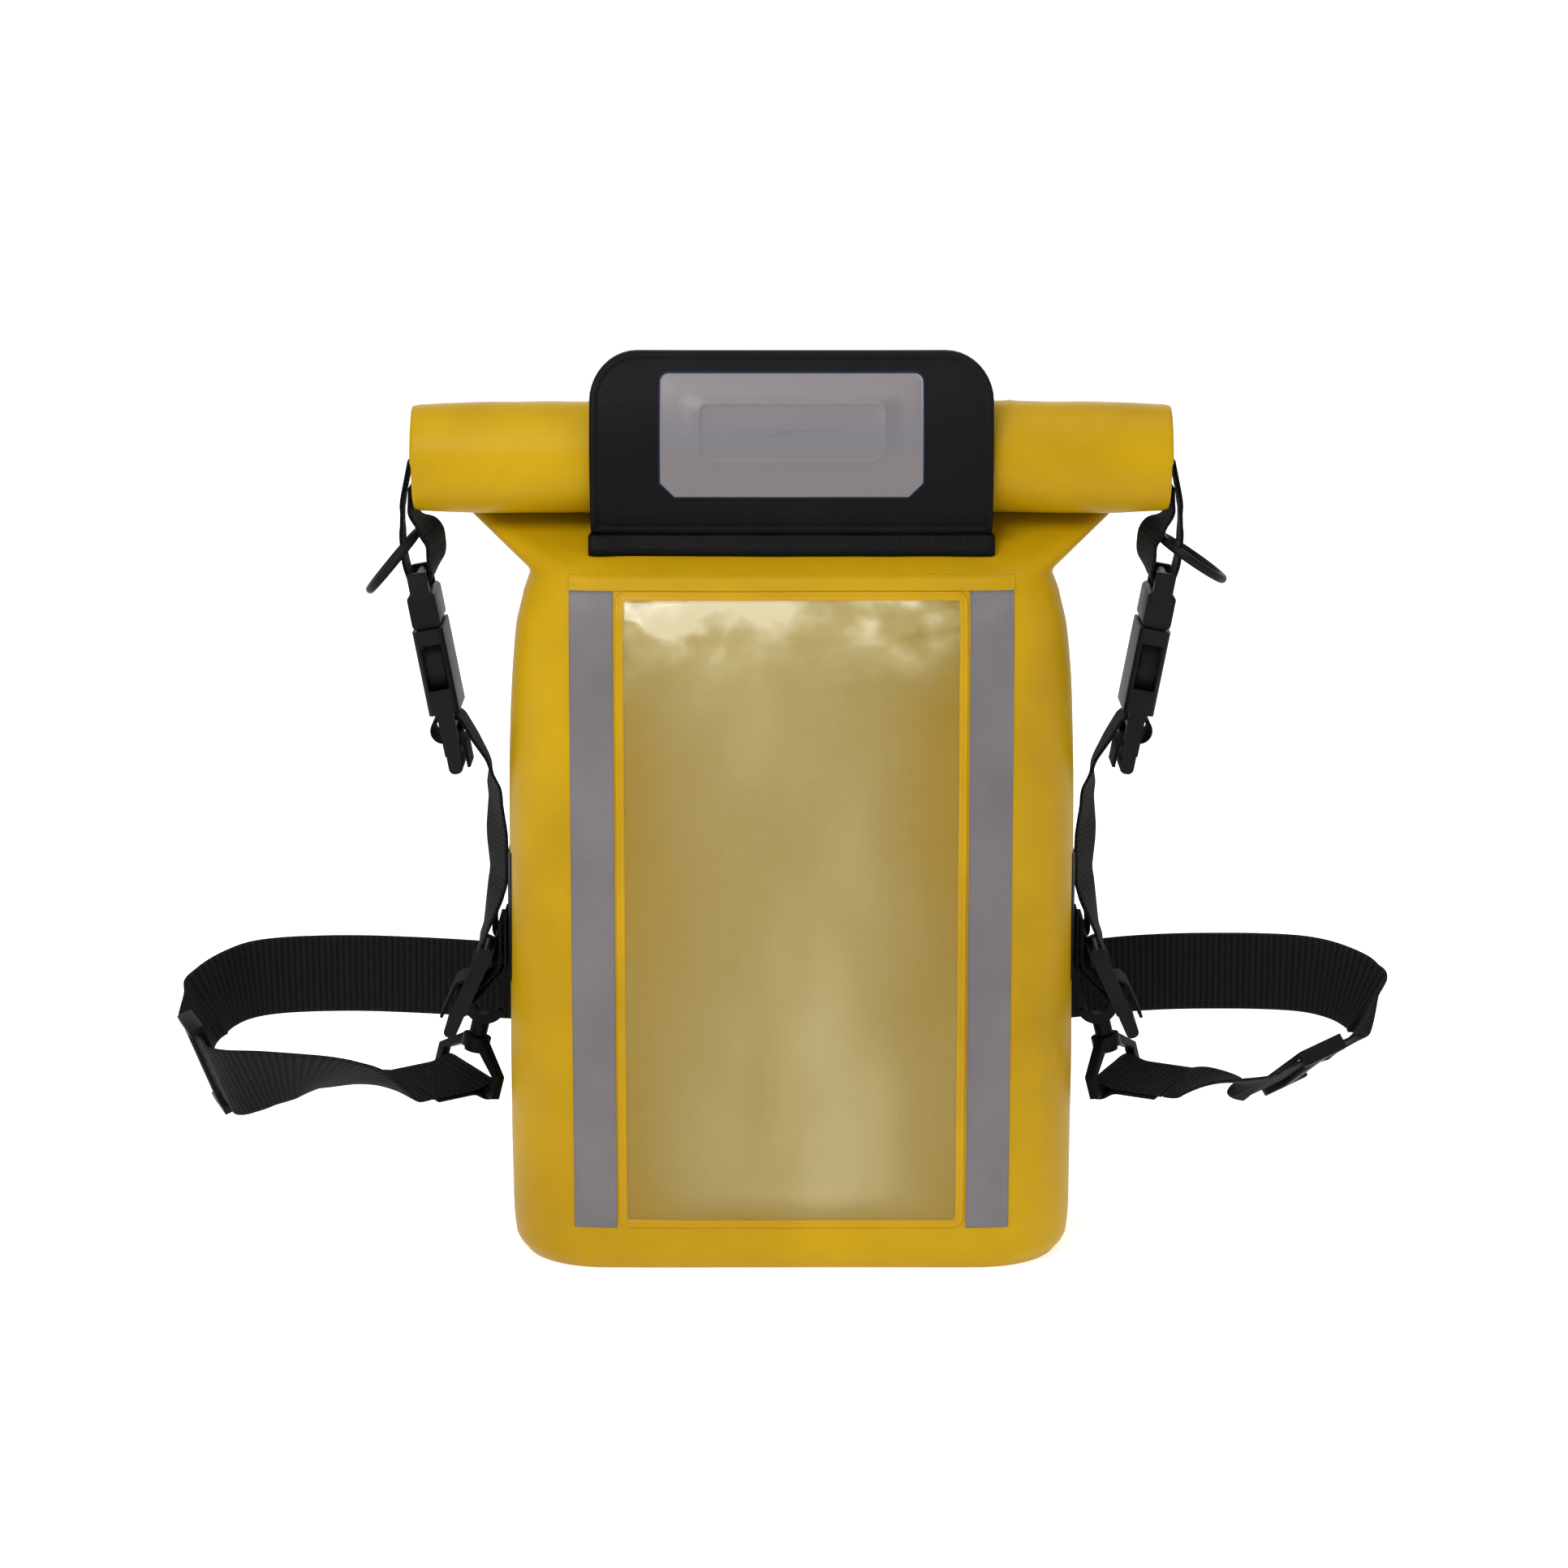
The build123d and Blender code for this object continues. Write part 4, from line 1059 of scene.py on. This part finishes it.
def make_belt_side(side, sign):
    centre, bar, leave = eye_frame(side)
    up = leave.cross(bar).normalized()
    fold = [(26, 1.5), (6, 1.5), (1.0, 3.4), (-3.4, 3.4), (-3.4, -3.4), (1.0, -3.4), (6, -0.1), (23, -0.1)]
    path = [mirrored(p, sign) for p in rounded_path([centre + leave * a + up * b for a, b in fold], 2.0)]
    across = [mirrored(bar, sign)] * len(path)
    ribbon("belt_end_run_" + side, path, across, BELT_WIDTH, STRAP_THICK, MATERIALS["belt"], "belt_end_" + side)

    flat = -90 - math.degrees(math.asin(bar.z))
    stations = list(BELT_ROUTE[side])
    for reach, rise in ((34.0, 2.5), (26.4, 1.5)):
        p = centre + leave * reach
        stations.append((p.x, p.y, p.z + rise, flat))
    rows = spline_path(stations)
    path = [Vector(r[:3]) for r in rows]
    acrosses = []
    for i, r in enumerate(rows):
        tangent = tangent_at(path, i)
        upright = (Vector((0, 0, 1)) - tangent * tangent.z).normalized()
        acrosses.append(Matrix.Rotation(math.radians(r[3]), 3, tangent) @ upright)
    path, acrosses = [mirrored(p, sign) for p in path], [mirrored(a, sign) for a in acrosses]
    node = "belt_webbing_" + side
    ribbon("belt_loop_" + side, path, acrosses, BELT_WIDTH, BELT_THICK, MATERIALS["belt"], node, BELT_TEETH)

    def on_fold(a, b):
        points = [mirrored(centre + leave * p.x + bar * p.y + up * 2.25, sign) for p in (a, b)]
        return points[0], points[1], mirrored(up, sign)

    lines = [(Vector((*a, 0)), Vector((*b, 0))) for a, b in box_lines(7.5, 24.0, -12.0, 12.0)]
    stitches("belt_end_stitches_" + side, lines, on_fold)


def make_belt_back():
    path = [Vector((x, BELT_Y, BELT_Z)) for x in np.linspace(-96.4, 96.4, 60)]
    across = [Vector((0, 0, 1))] * len(path)
    ribbon("belt_back_run", path, across, BELT_WIDTH, BELT_THICK, MATERIALS["belt"], "belt_webbing_back", BELT_TEETH)


def make_seams(side, sign):
    """Stitches on the belt keeper's two ends and round the ring's anchor webbing."""
    x, half, y = sign * KEEPER_X, 11.5, 50.9
    lines = [((x - half, y, BELT_Z + up), (x + half, y, BELT_Z + up)) for up in (21.0, 24.0, -21.0, -24.0)]
    stitches("keeper_stitches_" + side, lines, lambda a, b: (a, b, Vector((0, 1, 0))))
    x, low, high = sign * 108.85, 130, 143
    lines = [((x, y, low), (x, y, high)) for y in (ANCHOR_Y - 8, ANCHOR_Y + 8)]
    lines += [((x, ANCHOR_Y - 8, z), (x, ANCHOR_Y + 8, z)) for z in (low, high)]
    stitches("anchor_stitches_" + side, lines, lambda a, b: (a, b, Vector((sign, 0, 0))))


# ---------------------------------------------------------------- hardware and hidden pieces
def dress_nodes():
    """Plastic or tape materials on the CAD nodes that stay, and eased edges on the moulded ones."""
    looks = {"mouth_stiffener": "plastic", "roll_loop_tape": "tape", "flap_hook_tape": "tape"}
    eased = ["buckle_male", "buckle_prong_front", "buckle_prong_back", "buckle_female", "strap_adjuster",
             "hook_body", "hook_gate", "swivel_eye", "belt_slider"]
    for side in SIDES:
        for name in eased + ["upper_ring", "d_ring"]:
            looks[name + "_" + side] = "plastic"
    for name, look in looks.items():
        node = NODES[name]
        node.data.materials.clear()
        node.data.materials.append(MATERIALS[look])
        weld = node.modifiers.new("weld", "WELD")
        weld.merge_threshold = 0.00002
        if name.rsplit("_", 1)[0] in eased:
            bevel = node.modifiers.new("bevel", "BEVEL")
            bevel.width = 0.00055
            bevel.segments = 3
            bevel.limit_method = "ANGLE"
            bevel.angle_limit = math.radians(32)
            bevel.harden_normals = False
        shade_smooth(node.data)


# ---------------------------------------------------------------- light, floor and camera
def area_light(name, place, aim, size, power):
    light = bpy.data.lights.new(name, "AREA")
    light.shape = "RECTANGLE"
    light.size, light.size_y = size
    light.energy = power
    obj = bpy.data.objects.new(name, light)
    obj.location = place
    obj.rotation_euler = (Vector(aim) - Vector(place)).to_track_quat("-Z", "Y").to_euler()
    bpy.context.scene.collection.objects.link(obj)


def make_studio():
    world = bpy.data.worlds.new("studio")
    bpy.context.scene.world = world
    sky = Look(world, "Background")
    height = sky.x_and_z(sky.node("ShaderNodeTexCoord").outputs["Generated"])[1]
    sky.set(Color=sky.ramp(height, (0.12, (1.0, 1.0, 1.0)), (0.30, (0.42, 0.42, 0.42))))

    size, squares = 60.0, 12
    steps = [size * (i / squares - 0.5) for i in range(squares + 1)]
    points = [(x, y, 0.0) for y in steps for x in steps]
    floor = make_mesh("studio_floor", points, grid_faces(squares + 1, squares + 1), None)
    look = new_look("floor")
    shade = look.ramp(look.noise(look.position(), 3.0), (0.3, (0.80, 0.80, 0.80)), (0.7, (0.82, 0.82, 0.82)))
    look.set(Base_Color=shade, Emission_Color=(1, 1, 1, 1), Emission_Strength=0.64, Roughness=0.7)
    floor.data.materials.append(look.owner)
    floor.location.z = -0.0005

    area_light("key", (-0.7, -1.5, 1.7), (0, 0, 0.18), (1.1, 0.9), 34)
    area_light("top", (0.1, -0.15, 1.7), (0, 0, 0.2), (1.4, 0.9), 9)
    area_light("right_fill", (1.7, -0.9, 0.8), (0, 0, 0.17), (1.0, 1.2), 4)
    area_light("back_fill", (0.2, 1.9, 1.1), (0, 0, 0.17), (1.6, 1.2), 8)


def make_camera():
    camera = bpy.data.cameras.new("camera")
    camera.sensor_width = 36.0
    camera.lens = 99.0
    obj = bpy.data.objects.new("camera", camera)
    aim = Vector((-0.0027, 0.0, 0.1735))
    elevation, distance = math.radians(12.0), 1.6
    obj.location = aim + Vector((0, -math.cos(elevation), math.sin(elevation))) * distance
    obj.rotation_euler = (aim - obj.location).to_track_quat("-Z", "Y").to_euler()
    bpy.context.scene.collection.objects.link(obj)
    bpy.context.scene.camera = obj
    bpy.context.scene.view_settings.view_transform = "Standard"


def main():
    make_materials()
    make_camera()
    make_studio()
    make_bag()
    make_roll()
    make_flap()
    make_flap_band()
    make_front_sheets()
    make_patches()
    for side, sign in SIDES.items():
        make_side_webbing(side, sign)
        make_belt_side(side, sign)
    make_belt_back()
    for side, sign in SIDES.items():
        make_seams(side, sign)
    dress_nodes()


main()
